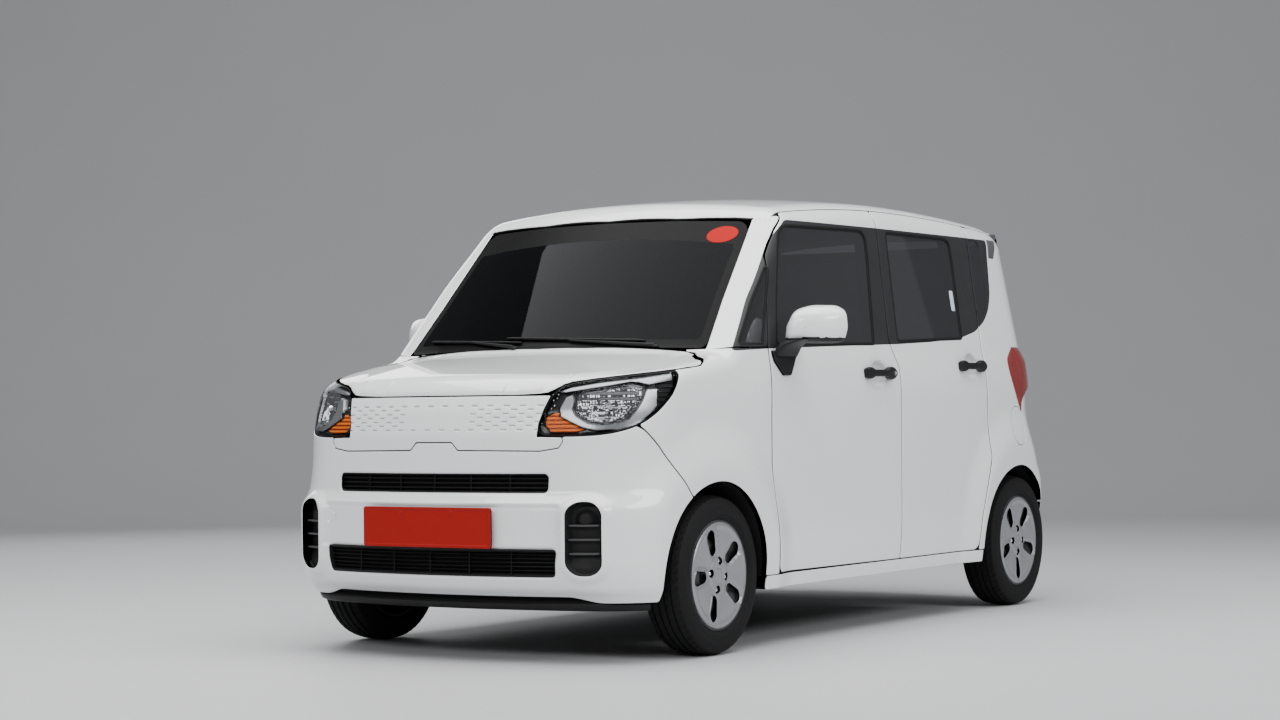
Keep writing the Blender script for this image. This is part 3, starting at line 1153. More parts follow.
F_SLOTS = [math.radians(v) for v in (110, 38, -34, -106, 182)]
F_LUGS = [math.radians(v) for v in (81, 171, 261, 351)]
R_SLOTS = [math.radians(v) for v in (54, 126, 198, -90, -18)]
R_LUGS = [math.radians(v) for v in (0, 90, 180, 270)]
for nm, wx, wy, s, rear in (("front_left", 703, YF, 1, 0), ("front_right", -703, YF, -1, 0), ("rear_left", 704.5, YR, 1, 1), ("rear_right", -704.5, YR, -1, 1)):
    body = "wheel_" + nm
    cc = (wx, wy, HZ)
    t = tyre("v_tyre_" + nm, cc)
    finish_piece(t, body, ["tyre_" + nm])
    # the same turn on both sides, as one cover is swapped across the car
    sl = [w if s > 0 else math.pi - w for w in (R_SLOTS if rear else F_SLOTS)]
    lg = [w if s > 0 else math.pi - w for w in (R_LUGS if rear else F_LUGS)]
    cv = wheel_cover("v_cover_" + nm, cc, s, sl, lg)
    finish_piece(cv, body, [])
    rb_ = rim_back("v_rim_" + nm, cc, s, rear)
    finish_piece(rb_, body, ["wheel_" + nm])


# ------------------------------------------------------------------ head lamps
def lampdir(phi, z):
    return skin(r_pf, phi, z)


def lamp_g(x, y, z):
    return -lamp_out(x, y, z)


U_OUT = round_poly([(34.0, 905, .0), (32.4, 896), (31.1, 858), (31.3, 830), (33.4, 812), (36.0, 792), (38.6, 783), (42.8, 785), (46.3, 798), (48.5, 815), (50.6, 838), (52.6, 868), (53.3, 925), (49.9, 922), (48.6, 880), (47.0, 846), (45.4, 820), (43.2, 806), (39.8, 802), (37.0, 809), (34.7, 832), (33.9, 856), (34.4, 885)])
BOWL = round_poly([(35.2, 905), (37.0, 918), (44.4, 933), (47.4, 938), (49.2, 926), (48.4, 885), (46.6, 850), (45.1, 824), (43.1, 810), (39.8, 806), (37.2, 813), (35.1, 836), (34.6, 868)])
STRIP = round_poly([(31.0, 915), (33.6, 929), (40.2, 945), (48.3, 958), (57.4, 977), (56.9, 950), (50.5, 935), (48.6, 943), (46.5, 946), (42.2, 934), (36.2, 920), (32.4, 911)])
AMBER = round_poly([(28.3, 830), (29.9, 841), (31.0, 842), (31.1, 828), (33.3, 810), (36.2, 786), (34.2, 777), (29.2, 779), (28.0, 803)])
RIBS = round_poly([(52.6, 936), (57.0, 944), (57.3, 930), (54.3, 880), (52.0, 850)])


def in_phi(poly, x, y, z):
    """Distance inside an outline given in degrees about the lamp's axis and height, in millimetres."""
    phi = np.degrees(np.arctan2(x, -(y + 900.0)))
    P = poly.copy()
    P[:, 0] *= 15.5
    return sdf(P, phi * 15.5, z)


def lamp_depth(x, y, z):
    """How deep the lamp's inside lies behind the lens."""
    d = 24.0 + 0 * x
    b = in_phi(BOWL, x, y, z)
    phi = np.degrees(np.arctan2(x, -(y + 900.0)))
    # reflector: a bowl cut into facets
    r = np.hypot((phi - 41.6) * 15.5, (z - 866) * 1.45)
    facet = 2.4 * np.abs(((phi - 41.6) * 15.5 / 17.0) % 1.0 - 0.5) + 1.6 * np.abs(((z - 866) / 19.0) % 1.0 - 0.5)
    bowl = 62.0 - 34.0 * np.clip(r / 120.0, 0, 1) ** 1.6 + facet * 2.0
    d = d + (bowl - 24.0) * ss(-1.0, 7.0, b)
    u = in_phi(U_OUT, x, y, z)
    d = np.where(u > -2, d - (d - 10.0) * ss(-2.0, 3.0, u), d)
    s_ = in_phi(STRIP, x, y, z)
    d = np.where(s_ > -2, d - (d - 9.0) * ss(-2.0, 2.5, s_), d)
    a = in_phi(AMBER, x, y, z)
    d = np.where(a > -2, 22.0 - 6.0 * ss(-2.0, 3.0, a) + 1.6 * np.abs(((phi * 15.5 + z * 0.4) / 9.0) % 1.0 - 0.5) + 1.4 * np.abs((z / 13.0) % 1.0 - 0.5), d)
    rb = in_phi(RIBS, x, y, z)
    d = np.where(rb > 0, 20.0 - 7.0 * ss(0.32, 0.5, np.abs((z / 16.0) % 1.0 - 0.5)), d)
    return d


def lamp_inside(name):
    """The lamp's inner parts as one relief behind the lens, in separate materials."""
    us = np.linspace(26.3, 59.3, 184)
    vs = np.linspace(764, 988, 94)
    Uu, Vv = np.meshgrid(us, vs, indexing="ij")
    P0 = skin(r_pf, Uu, Vv)
    x, y, z = P0[..., 0], P0[..., 1], P0[..., 2]
    dep = lamp_depth(x, y, z)
    g = lamp_g(x, y, z)
    # the black bezel rises to the lens at the rim
    dep = np.where(g < 9, 4.0 + (dep - 4.0) * ss(1.5, 9.0, g), dep)
    P = skin(r_pf, Uu, Vv, dep)
    ok = g > 0.4
    a, b = Uu.shape
    mi = np.zeros((a, b), int)
    phi = Uu
    mi[in_phi(BOWL, x, y, z) > 0] = 1
    mi[(in_phi(U_OUT, x, y, z) > 0.0)] = 2
    mi[(in_phi(STRIP, x, y, z) > 0.0)] = 2
    mi[(in_phi(AMBER, x, y, z) > 0.0)] = 3
    mi[(in_phi(RIBS, x, y, z) > 0.0)] = 4
    faces, mm = [], []
    for i in range(a - 1):
        for j in range(b - 1):
            if ok[i, j] and ok[i + 1, j] and ok[i, j + 1] and ok[i + 1, j + 1]:
                faces.append((i * b + j, (i + 1) * b + j, (i + 1) * b + j + 1, i * b + j + 1))
                mm.append(mi[i, j])
    me = Mesh()
    me.add(P.reshape(-1, 3), faces, mm)
    # small chrome studs in the upper inner corner and along the bottom edge
    for ph, zz, rr in [(29.8, 886, 3.2), (30.0, 868, 3.0), (29.6, 905, 2.6), (30.9, 905, 2.6), (29.3, 858, 2.4), (31.0, 918, 2.4), (30.6, 893, 2.2), (38.2, 772.5, 2.0), (36.2, 771, 2.0), (40.4, 773.5, 2.0), (33.5, 770.5, 2.0), (30.5, 770.5, 2.0)]:
        c = skin(r_pf, ph, zz, 16.0)
        d = np.array([math.sin(math.radians(ph)), -math.cos(math.radians(ph)), 0.0])
        e1, e2 = np.cross(d, [0, 0, 1.0]), np.array([0, 0, 1.0])
        w = np.linspace(0, 2 * math.pi, 12, endpoint=False)
        rings = []
        for q, h in ((1.0, 0.0), (0.85, 0.55), (0.5, 0.9), (0.05, 1.0)):
            rings.append(c + d * h * rr + q * rr * (np.outer(np.cos(w), e1) + np.outer(np.sin(w), e2)))
        me.grid(np.array(rings), 5, closed_v=True, flip=True)
    # bulb shroud and lamp inside the bowl
    c = skin(r_pf, 41.6, 868, 46.0)
    d = np.array([math.sin(math.radians(41.6)), -math.cos(math.radians(41.6)), 0.0])
    me.tube([c - d * 10, c + d * 6, c + d * 12, c + d * 13.5], [11, 11, 8.5, 0.5], 5, 20)
    e1 = np.cross(d, [0, 0, 1.0])
    me.tube([c - e1 * 52 + d * 4 - [0, 0, 6], c + d * 12 - [0, 0, 9], c + e1 * 52 + d * 4 + [0, 0, 2]], 2.2, 5, 8)
    return me.make(name, [M["gloss_black"], M["reflector"], M["lamp_silver"], M["amber"], M["black_plastic"], M["chrome"]], angle=24)


def facet_material():
    """Mirror-like metal whose brightness breaks into upright facets."""
    m = material("reflector", (0.27, 0.275, 0.28), 0.10, metal=1.0, var=0.10, scale=120, rvar=0.05, bump=0.0)
    nt = m.node_tree
    n = nt.nodes
    bs = n["Principled BSDF"]
    tc = n.new("ShaderNodeTexCoord")
    mp = n.new("ShaderNodeMapping")
    mp.inputs["Scale"].default_value = (62.0, 62.0, 26.0)
    vo = n.new("ShaderNodeTexVoronoi")
    vo.inputs["Scale"].default_value = 1.0
    nt.links.new(tc.outputs["Object"], mp.inputs["Vector"])
    nt.links.new(mp.outputs["Vector"], vo.inputs["Vector"])
    k = n.new("ShaderNodeBump")
    k.inputs["Strength"].default_value = 0.9
    k.inputs["Distance"].default_value = 0.004
    nt.links.new(vo.outputs["Distance"], k.inputs["Height"])
    nt.links.new(k.outputs["Normal"], bs.inputs["Normal"])
    return m


M["reflector"] = facet_material()
li = lamp_inside("v_lamp_inside_left")
ll = panel("v_lamp_lens_left", r_pf, (26.0, 59.6), (760, 992), lambda x, y, z: lamp_g(x, y, z) - 0.6, [M["g_lamp"]], step=(6, 6), coarse=1, roll=2.0, wall=0, inset=1.2, uscale=14.5)
lt = panel("v_lamp_rim_left", r_pf, (26.0, 59.6), (760, 992), lambda x, y, z: np.minimum(lamp_g(x, y, z) + 1.6, 2.2 - lamp_g(x, y, z)), [M["rubber_seal"]], step=(3.0, 3.0), coarse=1, roll=0, wall=24, inset=2.4, uscale=14.5)
for o, nd, sl_ in ((li, ["headlamps"], "lamp_clear"), (ll, [], "lamp_clear"), (lt, [], "black_plastic")):
    finish_piece(o, "body", nd)
    o2 = mirrored(o, o.name.replace("left", "right"))
    finish_piece(o2, "body", nd)


# ------------------------------------------------------------------ tail lamps
def lens_out(p, z):
    return (4 + 16 * np.exp(-((p - 42.0) / 5.0) ** 2)) * ss(810, 960, z) * (1 - 0.7 * ss(1040, 1106, z))


def tl_g(x, y, z):
    return np.minimum(sdf(TAIL_LAMP, x, z), sdf(TL_SIDE, y, z))


def tl_disp(x, y, z):
    p = np.degrees(np.arctan2(x, y - 700.0))
    g = tl_g(x, y, z)
    return -lens_out(p, z) * ss(0.0, 16.0, g + 2)


def tl_split(x, y, z):
    """Clear upper part with the turn signal, seen from behind."""
    return sdf(round_poly([(628, 1000, 14), (628, 1078, 14), (716, 1084, 20), (722, 1012, 20)]), x, z)


tl = panel("v_tail_lamp_left", r_pr, (31, 54), (812, 1116), tl_g, [M["lamp_red"], M["lamp_clearred"] if "lamp_clearred" in M else M["lamp_red"]], step=(4, 4), coarse=1, roll=2.0, wall=34, disp=tl_disp, uscale=15.0, wall_mat=0)
tlb = panel("v_tail_lamp_edge_left", r_pr, (31, 54), (810, 1118), lambda x, y, z: np.minimum(tl_g(x, y, z) + 1.9, 1.4 - tl_g(x, y, z)), [M["gloss_black"]], step=(3, 3), coarse=1, roll=0, wall=20, inset=2.0, uscale=15.0)
for o, nd, sl_ in ((tl, ["tail_lamps"], "lamp_red"), (tlb, [], "black_plastic")):
    finish_piece(o, "body", nd)
    finish_piece(mirrored(o, o.name.replace("left", "right")), "body", nd)


# ------------------------------------------------------------------ grilles, fog lamp pods, plate, tow eye, dam
def front_strip(me, x0, x1, zfun, half, depth0, depth1, mat, n=60):
    """A bar along the bumper between two depths behind the skin; zfun(x) its height."""
    xs = np.linspace(x0, x1, n)
    rows = []
    for dz, dp in ((-half, depth1), (-half, depth0 + 1.5), (-half + 1.5, depth0), (half - 1.5, depth0), (half, depth0 + 1.5), (half, depth1)):
        z = np.array([zfun(x) for x in xs]) + dz
        P = skin(r_y, xs, z, 0.0)
        P[:, 1] += dp
        rows.append(P)
    me.grid(np.array(rows), mat)


M["grille_black"] = material("grille_black", (0.006, 0.006, 0.0063), 0.45, var=0.2, bump=0.2, bscale=900, spec=0.16)
gm = Mesh()
# upper slot: dark back with thin bars
for zc in (592, 608, 624):
    front_strip(gm, -438, 438, lambda x, zc=zc: zc, 2.6, 10, 24, 1, 80)
for xc in (-300, -150, 0, 150, 300):
    P = skin(r_y, np.array([xc - 3.0, xc + 3.0]), np.array([608.0, 608.0]))
    gm.box([xc - 3, P[0, 1] + 12, 577], [xc + 3, P[0, 1] + 24, 639], 1, 1.0)
us_, vs_ = np.linspace(-445, 445, 60), np.linspace(572, 645, 8)
Ug, Vg = np.meshgrid(us_, vs_, indexing="ij")
P = skin(r_y, Ug, Vg)
P[..., 1] += 27
gm.grid(P, 0)
# lower slot: mesh of slanted bars behind a bevelled frame
us_, vs_ = np.linspace(-484, 484, 64), np.linspace(290, 393, 8)
Ug, Vg = np.meshgrid(us_, vs_, indexing="ij")
P = skin(r_y, Ug, Vg)
P[..., 1] += 31
gm.grid(P, 0)
for zc in np.arange(303, 386, 13.5):
    front_strip(gm, -474, 474, lambda x, zc=zc: zc, 1.7, 15, 26, 1, 80)
for xc in (-320, -160, 0, 160, 320):
    P = skin(r_y, np.array([xc]), np.array([342.0]))
    gm.box([xc - 2.5, P[0, 1] + 17, 297], [xc + 2.5, P[0, 1] + 27, 386], 1, 0.7)
gr_ = gm.make("v_grille_bars", [M["deep_black"], M["grille_black"]], angle=30)
finish_piece(gr_, "body", ["bumper_grilles"])


def ring_frame(name, poly, d0, d1, width, mat, ray=r_y, deg=False):
    """A bevelled frame that follows an outline just inside it."""
    n = len(poly)
    c = poly.mean(0)
    rows = []
    for k, dp in ((0.0, d0), (0.45 * width, d0 + 0.5), (width, d1)):
        nrm = np.roll(poly, -1, 0) - np.roll(poly, 1, 0)
        nn = np.stack([-nrm[:, 1], nrm[:, 0]], 1)
        nn /= np.linalg.norm(nn, axis=1, keepdims=True) + 1e-9
        sgn = np.sign(((c - poly) * nn).sum(1))
        q = poly + nn * sgn[:, None] * k
        Pq = skin(ray, q[:, 0], q[:, 1])
        Pq[:, 1] += dp
        rows.append(Pq)
    me = Mesh()
    me.grid(np.array(rows), 0, closed_v=True)
    return me.make(name, [mat], angle=60, fix=True)


def dense(poly, step=12.0):
    out = []
    for i in range(len(poly)):
        a, b = poly[i], poly[(i + 1) % len(poly)]
        k = max(1, int(np.hypot(*(b - a)) / step))
        for j in range(k):
            out.append(a + (b - a) * j / k)
    return np.array(out)


f1 = ring_frame("v_grille_frame_low", dense(GRILLE_LOW), 7.5, 24.0, 13.0, M["black_plastic"])
f2 = ring_frame("v_grille_frame_up", dense(GRILLE_UP), 5.0, 20.0, 7.0, M["black_plastic"])
finish_piece(f1, "body", [])
finish_piece(f2, "body", [])
M["pod_louvre"] = material("pod_louvre", (0.06, 0.06, 0.062), 0.35, var=0.15, bump=0.1, bscale=900, spec=0.4)
for sgn, tag in ((1, "left"), (-1, "right")):
    pm = Mesh()
    us_, vs_ = np.linspace(515, 637, 46), np.linspace(296, 552, 92)
    Ug, Vg = np.meshgrid(us_, vs_, indexing="ij")
    f_ = sdf(FOG, Ug, Vg)
    # a deep pocket: round form above, a bowl that opens out below, a flat back between
    dep = 34.0 - 15.0 * ss(0, 26, 40 - np.hypot(Ug - 576, Vg - 487)) * 1.0 - 20.0 * ss(372, 308, Vg)
    dep = np.where(f_ < 9, 2.0 + (dep - 2.0) * ss(-2.0, 9.0, f_), dep)
    P = skin(r_y, Ug, Vg)
    P[..., 1] += dep
    ok = f_ > -6.5
    aa, bb = Ug.shape
    fs = [(i * bb + j, (i + 1) * bb + j, (i + 1) * bb + j + 1, i * bb + j + 1) for i in range(aa - 1) for j in range(bb - 1) if ok[i, j] and ok[i + 1, j] and ok[i, j + 1] and ok[i + 1, j + 1]]
    pm.add(P.reshape(-1, 3), fs, 0)
    # three thin louvres across the pocket
    for zc, half_ in ((374.0, 47), (421.0, 49), (468.0, 47)):
        xs = np.linspace(576 - half_, 576 + half_, 14)
        rr = []
        for dz, dp in ((-4, 34), (-3.5, 11), (-1.5, 8), (1.5, 7.5), (3, 9.0), (4, 34)):
            Q = skin(r_y, xs, np.full(14, zc) + dz)
            Q[:, 1] += dp
            rr.append(Q)
        pm.grid(np.array(rr), 1)
        for k_ in (0, -1):
            q = np.array([r_[k_] for r_ in rr])
            pm.add(q, [tuple(range(6)) if k_ == 0 else tuple(reversed(range(6)))], 1)
    ob = pm.make("v_fog_pod_" + tag, [M["black_plastic"], M["pod_louvre"]], angle=50, fix=False)
    if sgn < 0:
        o2 = mirrored(ob, "v_fog_pod_r")
        o2.data.name = "v_fog_pod_r"
        bpy.data.objects.remove(ob)
        ob = o2
    finish_piece(ob, "body", ["bumper_grilles"])


# front plate, blank, on its bracket
def plate(name, cx, y, z0, z1, half, ny, mat, body, curve=0.0):
    poly = round_poly([(-half, z0, 9), (-half, z1, 9), (half, z1, 9), (half, z0, 9)])

    def base(u, v):
        return cx + u, y + 0 * u + curve * u * u, v + 0 * u, 0 * u, ny + 0 * u, 0 * u

    def disp(x, y_, z):
        e = sdf(poly, x - cx, z)
        d = -1.4 * ss(3.0, 5.0, e) * ss(11.0, 9.0, e)
        for sx in (-105, 105):
            r = np.hypot(x - cx - sx, z - (z1 - 18))
            d = d - 2.6 * ss(9.0, 7.0, r) + 1.0 * ss(3.5, 2.5, r)
        return d
    o = panel(name, None, (-half, half), (z0, z1), lambda x, y_, z: sdf(poly, x - cx, z), [mat], step=(3.2, 3.2), coarse=2, base=base, disp=disp, roll=1.2, wall=5.0, extra=[lambda x, y_, z: 14 - np.abs(np.hypot(np.abs(x - cx) - 105, z - (z1 - 18)))])
    finish_piece(o, body, [])
    return o


FPY = float(skin(r_y, np.array([0.0]), np.array([460.0]))[0, 1])
plate("v_plate_front", -2.0, FPY - 5.5, 390, 527, 271, -1.0, M["plate_red"], "body", curve=1.0 / 16000)
BPY = float(skin(r_yr, np.array([262.0]), np.array([812.0]))[0, 1])
plate("v_plate_rear", 0.0, BPY + 1.5, 746, 880, 262, 1.0, M["plate_blank"], "tailgate")
fb = Mesh()
fb.box([-236, FPY + 4, 399], [232, FPY + 30, 518], 0, 3)
finish_piece(fb.make("v_plate_bracket", [M["black_plastic"]]), "body", [])

# chin: a black air dam under the bumper, with a lip
dm = Mesh()
ang = np.linspace(-50, 50, 70)
rows = []
for z, dep in ((238, 34), (212, 30), (203, 16), (198, 13), (190, 16), (181, 22), (176, 34), (178, 48), (206, 50)):
    rows.append(skin(r_pf, ang, np.full(70, 214.0), dep + 4))
    rows[-1][:, 2] = z
dm.grid(np.array(rows), 0)
finish_piece(dm.make("v_air_dam", [M["black_plastic"]], angle=50), "body", [])


# ------------------------------------------------------------------ door mirrors and handles
def loft(rings, mats, name, caps=(True, True), mat=0, angle=35):
    me = Mesh()
    R = np.array(rings)
    me.grid(R, mat, closed_v=True)
    if caps[0]:
        me.cap(R[0], mat, flip=True)
    if caps[1]:
        me.cap(R[-1], mat)
    return me.make(name, mats, angle=angle, fix=True)


def mirror_piece():
    """Door mirror: a rounded white cap over a black underside, the glass at the back and a wedge foot on the door."""
    me = Mesh()
    n = 72
    # outline seen from the front (x, z)
    face = dense(round_poly([(785, 1100, 8), (789, 1150, 70), (821, 1212, 60), (872, 1226, 70), (940, 1224, 50), (981, 1195, 42), (987, 1140, 42), (966, 1091, 36), (925, 1086, 40), (800, 1088, 10)], 10), 7.0)
    c = face.mean(0)
    # plan: front and back faces slant back going outwards
    def yf(x):
        return np.interp(x, [780, 832, 900, 968, 990], [-740, -736, -700, -652, -600])

    def yb(x):
        return np.interp(x, [780, 800, 962, 990], [-668, -648, -562, -585])
    rings = []
    for k in np.linspace(0, 1, 14):
        # front shell bulges: ring shrinks towards the front middle
        sc = math.sin(k * math.pi / 2) ** 0.62 if k > 0 else 0.02
        q = c + (face - c) * sc
        y = yf(q[:, 0]) + (yb(q[:, 0]) - yf(q[:, 0])) * (1 - math.cos(k * math.pi / 2)) * 0.92 + 3
        rings.append(np.stack([q[:, 0], y, q[:, 1]], 1))
    # flat rim at the back and the recess for the glass
    for sc, dy in ((0.985, 0.5), (0.93, 1.0), (0.91, -6.0), (0.89, -9.0)):
        q = c + (face - c) * sc
        rings.append(np.stack([q[:, 0], yb(q[:, 0]) * 1.0 + dy - 3.0, q[:, 1]], 1))
    R = np.array(rings)
    a, b = R.shape[:2]
    fs, mi = [], []
    for i in range(a - 1):
        for j in range(b):
            f = (i * b + j, (i + 1) * b + j, (i + 1) * b + (j + 1) % b, i * b + (j + 1) % b)
            zc = R[i:i + 2, [j, (j + 1) % b], 2].mean()
            xc = R[i:i + 2, [j, (j + 1) % b], 0].mean()
            low = zc < 1106
            fs.append(f)
            mi.append(1 if (low or i >= 13) else 0)
    me.add(R.reshape(-1, 3), fs, mi)
    q = c + (face - c) * 0.89
    gl = np.stack([q[:, 0], yb(q[:, 0]) - 12.0, q[:, 1]], 1)
    me.cap(gl, 2)
    # broad neck from the foot up into the underside of the cap
    nk = []
    for z, cx, cy, rx_, ry_ in ((1099, 838, -676, 46, 44), (1092, 818, -672, 40, 58), (1082, 800, -668, 28, 70), (1070, 788, -664, 19, 80), (1056, 781, -662, 15, 82), (1040, 777, -664, 11, 76)):
        w = np.linspace(0, 2 * math.pi, 36, endpoint=False)
        cs, sn = np.cos(w), np.sin(w)
        nk.append(np.stack([cx + rx_ * np.sign(cs) * np.abs(cs) ** 0.7, cy + ry_ * np.sign(sn) * np.abs(sn) ** 0.7, np.full(36, float(z))], 1))
    me.grid(np.array(nk), 1, closed_v=True)
    ob = me.make("v_mirror_left", [M["paint_white"], M["black_plastic"], M["mirror_face"]], angle=38, fix=True)
    return ob


MB = round_poly([(-745, 1022, 20), (-753, 1060, 6), (-562, 1071, 6), (-642, 971, 10), (-692, 971, 10)])
mfoot = panel("v_mirror_foot_left", rx, (-757, -558), (966, 1076), lambda x, y, z: sdf(MB, y, z), [M["black_plastic"]], step=(4, 4), coarse=1, roll=6.0, wall=12, inset=-12.4)
mf2 = mirrored(mfoot, "v_mirror_foot_right")
ml = mirror_piece()
mr = mirrored(ml, "v_mirror_right")
finish_piece(mfoot, "front_door_left", ["mirror_left"])
finish_piece(mf2, "front_door_right", ["mirror_right"])
finish_piece(ml, "front_door_left", ["mirror_left"])
finish_piece(mr, "front_door_right", ["mirror_right"])


def handle_piece(name, y0, y1, z, keyed):
    """Pull handle: a rounded bar with two larger round ends; the hind end carries the lock."""
    me = Mesh()
    xs = float(side_x(np.array(0.5 * (y0 + y1)), np.array(float(z))))
    n = 40
    ys = np.linspace(y0, y1, n)
    L = y1 - y0
    hh, x_out, x_in = [], [], []
    for y in ys:
        t = (y - y0) / L
        end0 = max(0.0, 1 - ((t - 0.095) / 0.125) ** 2) ** 0.5 if abs(t - 0.095) < 0.125 else 0.0
        end1 = max(0.0, 1 - ((t - 0.84) / 0.17) ** 2) ** 0.5 if abs(t - 0.84) < 0.17 else 0.0
        bar = 13.0 + 1.5 * t
        h = max(bar * (1 if 0.06 < t < 0.94 else 0.0), 23 * end0 ** 0.8, 25.5 * end1 ** 0.8, 2.0)
        hh.append(h)
        x_out.append(xs + 22 + 8.5 * math.sin(math.pi * min(max(t, 0.03), 0.97)) ** 0.5)
        x_in.append(xs + (13 if 0.22 < t < 0.66 else 13 - 15 * min(1.0, (abs(t - 0.44) - 0.22) / 0.07)))
    rings = []
    m = 20
    for y, h, xo, xi in zip(ys, hh, x_out, x_in):
        w = np.linspace(0, 2 * math.pi, m, endpoint=False)
        cx, rx_ = (xo + xi) / 2, (xo - xi) / 2
        # rounded box section
        cs, sn = np.cos(w), np.sin(w)
        px = cx + rx_ * np.sign(cs) * np.abs(cs) ** 0.6
        pz = z + h * np.sign(sn) * np.abs(sn) ** 0.6
        rings.append(np.stack([px, np.full(m, y), pz], 1))
    me.grid(np.array(rings), 0, closed_v=True)
    me.cap(rings[0], 0)
    me.cap(rings[-1], 0)
    if keyed:
        me.turn([(0, 9), (2.2, 9), (2.6, 8), (2.6, 4), (1.2, 3.6), (1.2, 0.1)], (xs + 29.2, y1 - 30, z), "x", 1, 24)
    return me.make(name, [M["black_plastic"], M["chrome"]], angle=40, fix=True)


def bowl_piece(name, b):
    """The hollow behind a pull handle, from the rim of the hole in the door skin inwards."""
    w = np.linspace(0, 2 * math.pi, 72, endpoint=False)
    rows = []
    for t, d in ((1.05, 5.5), (1.02, 4.2), (0.985, 3.6), (0.955, 5.0), (0.93, 7.8), (0.90, 11.5), (0.86, 15.5), (0.80, 19.0), (0.70, 22.0), (0.55, 24.0), (0.35, 25.0), (0.15, 25.4), (0.02, 25.5)):
        p = skin(rx, b[0] + b[2] * t * np.cos(w), b[1] + b[3] * t * np.sin(w))
        p[:, 0] -= d
        rows.append(p)
    me = Mesh()
    me.grid(np.array(rows), 0, closed_v=True)
    # the lining closes the same hole on the cabin side
    back = []
    for t in (1.07, 0.9, 0.5, 0.02):
        zz = b[1] + b[3] * t * np.sin(w)
        p = skin(rx, b[0] + b[2] * t * np.cos(w), zz)
        p[:, 0] -= door_t(zz) + 1.2
        back.append(p)
    me.grid(np.array(back), 1, flip=True, closed_v=True)
    return me.make(name, [M["paint_white"], M["cabin_plastic"]], angle=60, fix=True)


for nm, b, bl, brr in (("front", BOWL_F, "front_door_left", "front_door_right"), ("rear", BOWL_R, "rear_door_left", "body")):
    o = bowl_piece("v_bowl_%s_left" % nm, b)
    o2 = mirrored(o, "v_bowl_%s_right" % nm)
    finish_piece(o, bl, [])
    finish_piece(o2, brr, [])

for nm, y0, y1, z, bl, brr in (("front", -49, 189, 985, "front_door_left", "front_door_right"), ("rear", 804, 1035, 1020, "rear_door_left", "body")):
    h1 = handle_piece("v_handle_%s_left" % nm, y0, y1, z, nm == "front")
    h2 = mirrored(h1, "v_handle_%s_right" % nm)
    nd1 = nm + "_handle_left"
    nd2 = "front_handle_right" if nm == "front" else "sliding_handle_right"
    finish_piece(h1, bl, [nd1])
    finish_piece(h2, brr, [nd2])


# ------------------------------------------------------------------ seats
PADS = []


def pad(name, path, width, thick, xc=0.0, seams=(), cross=(), bolster=0.0, crown=10.0, taper=(1.0, 1.0), power=0.42, voxel=17.0):
    """A stuffed cushion along a path of (y, z) points, kept a little small, because it swells afterwards."""
    P = chain([(p[0], p[1]) for p in path], 14)
    n = len(P)
    t = np.gradient(P, axis=0)
    t /= np.linalg.norm(t, axis=1, keepdims=True)
    nn = np.stack([-t[:, 1], t[:, 0]], 1)
    L = np.concatenate([[0], np.cumsum(np.linalg.norm(np.diff(P, axis=0), axis=1))])
    tot = L[-1]
    m = 80
    rings = []
    for i in range(n):
        s = L[i] / tot
        e = min(L[i], tot - L[i])
        rr = min(thick * 0.5, 60.0)
        sh = math.sqrt(max(0.0, 1 - (1 - min(e / rr, 1.0)) ** 2)) if e < rr else 1.0
        wv = (taper[0] + (taper[1] - taper[0]) * s) * width / 2 - 7
        w = np.linspace(0, 2 * math.pi, m, endpoint=False)
        cs, sn = np.cos(w), np.sin(w)
        ex, ez = np.sign(cs) * np.abs(cs) ** power, np.sign(sn) * np.abs(sn) ** power
        # the sides pull in between the corners
        x = wv * (1 - 0.035 * math.sin(math.pi * s)) * ex * (0.90 + 0.10 * sh)
        side = np.abs(x) / wv
        h = (thick / 2 - 4) * (0.12 + 0.88 * sh) * ez + crown * (1 - side ** 2) * math.sin(math.pi * s) * (sn > 0)
        h = h + (sn > 0) * bolster * np.exp(-((side - 0.84) / 0.11) ** 2) * sh
        rings.append(np.stack([xc + x, P[i, 0] + nn[i, 0] * h, P[i, 1] + nn[i, 1] * h], 1))
    me = Mesh()
    R = np.array(rings)
    me.grid(R, 0, closed_v=True)
    me.cap(R[0], 0, flip=True)
    me.cap(R[-1], 0)
    ob = me.make(name, [M["seat_fabric"]], smooth=False, fix=True)
    PADS.append(dict(ob=ob, P=P, nn=nn, L=L, xc=xc, seams=seams, cross=cross, voxel=voxel, wv=width / 2))
    return ob


def baked(ob):
    """The mesh that the modifiers give, kept as the piece's own."""
    dg = bpy.context.evaluated_depsgraph_get()
    me = bpy.data.meshes.new_from_object(ob.evaluated_get(dg))
    ob.modifiers.clear()
    old = ob.data
    ob.data = me
    bpy.data.meshes.remove(old)


def points(me):
    co = np.zeros(len(me.vertices) * 3)
    me.vertices.foreach_get("co", co)
    return co.reshape(-1, 3)


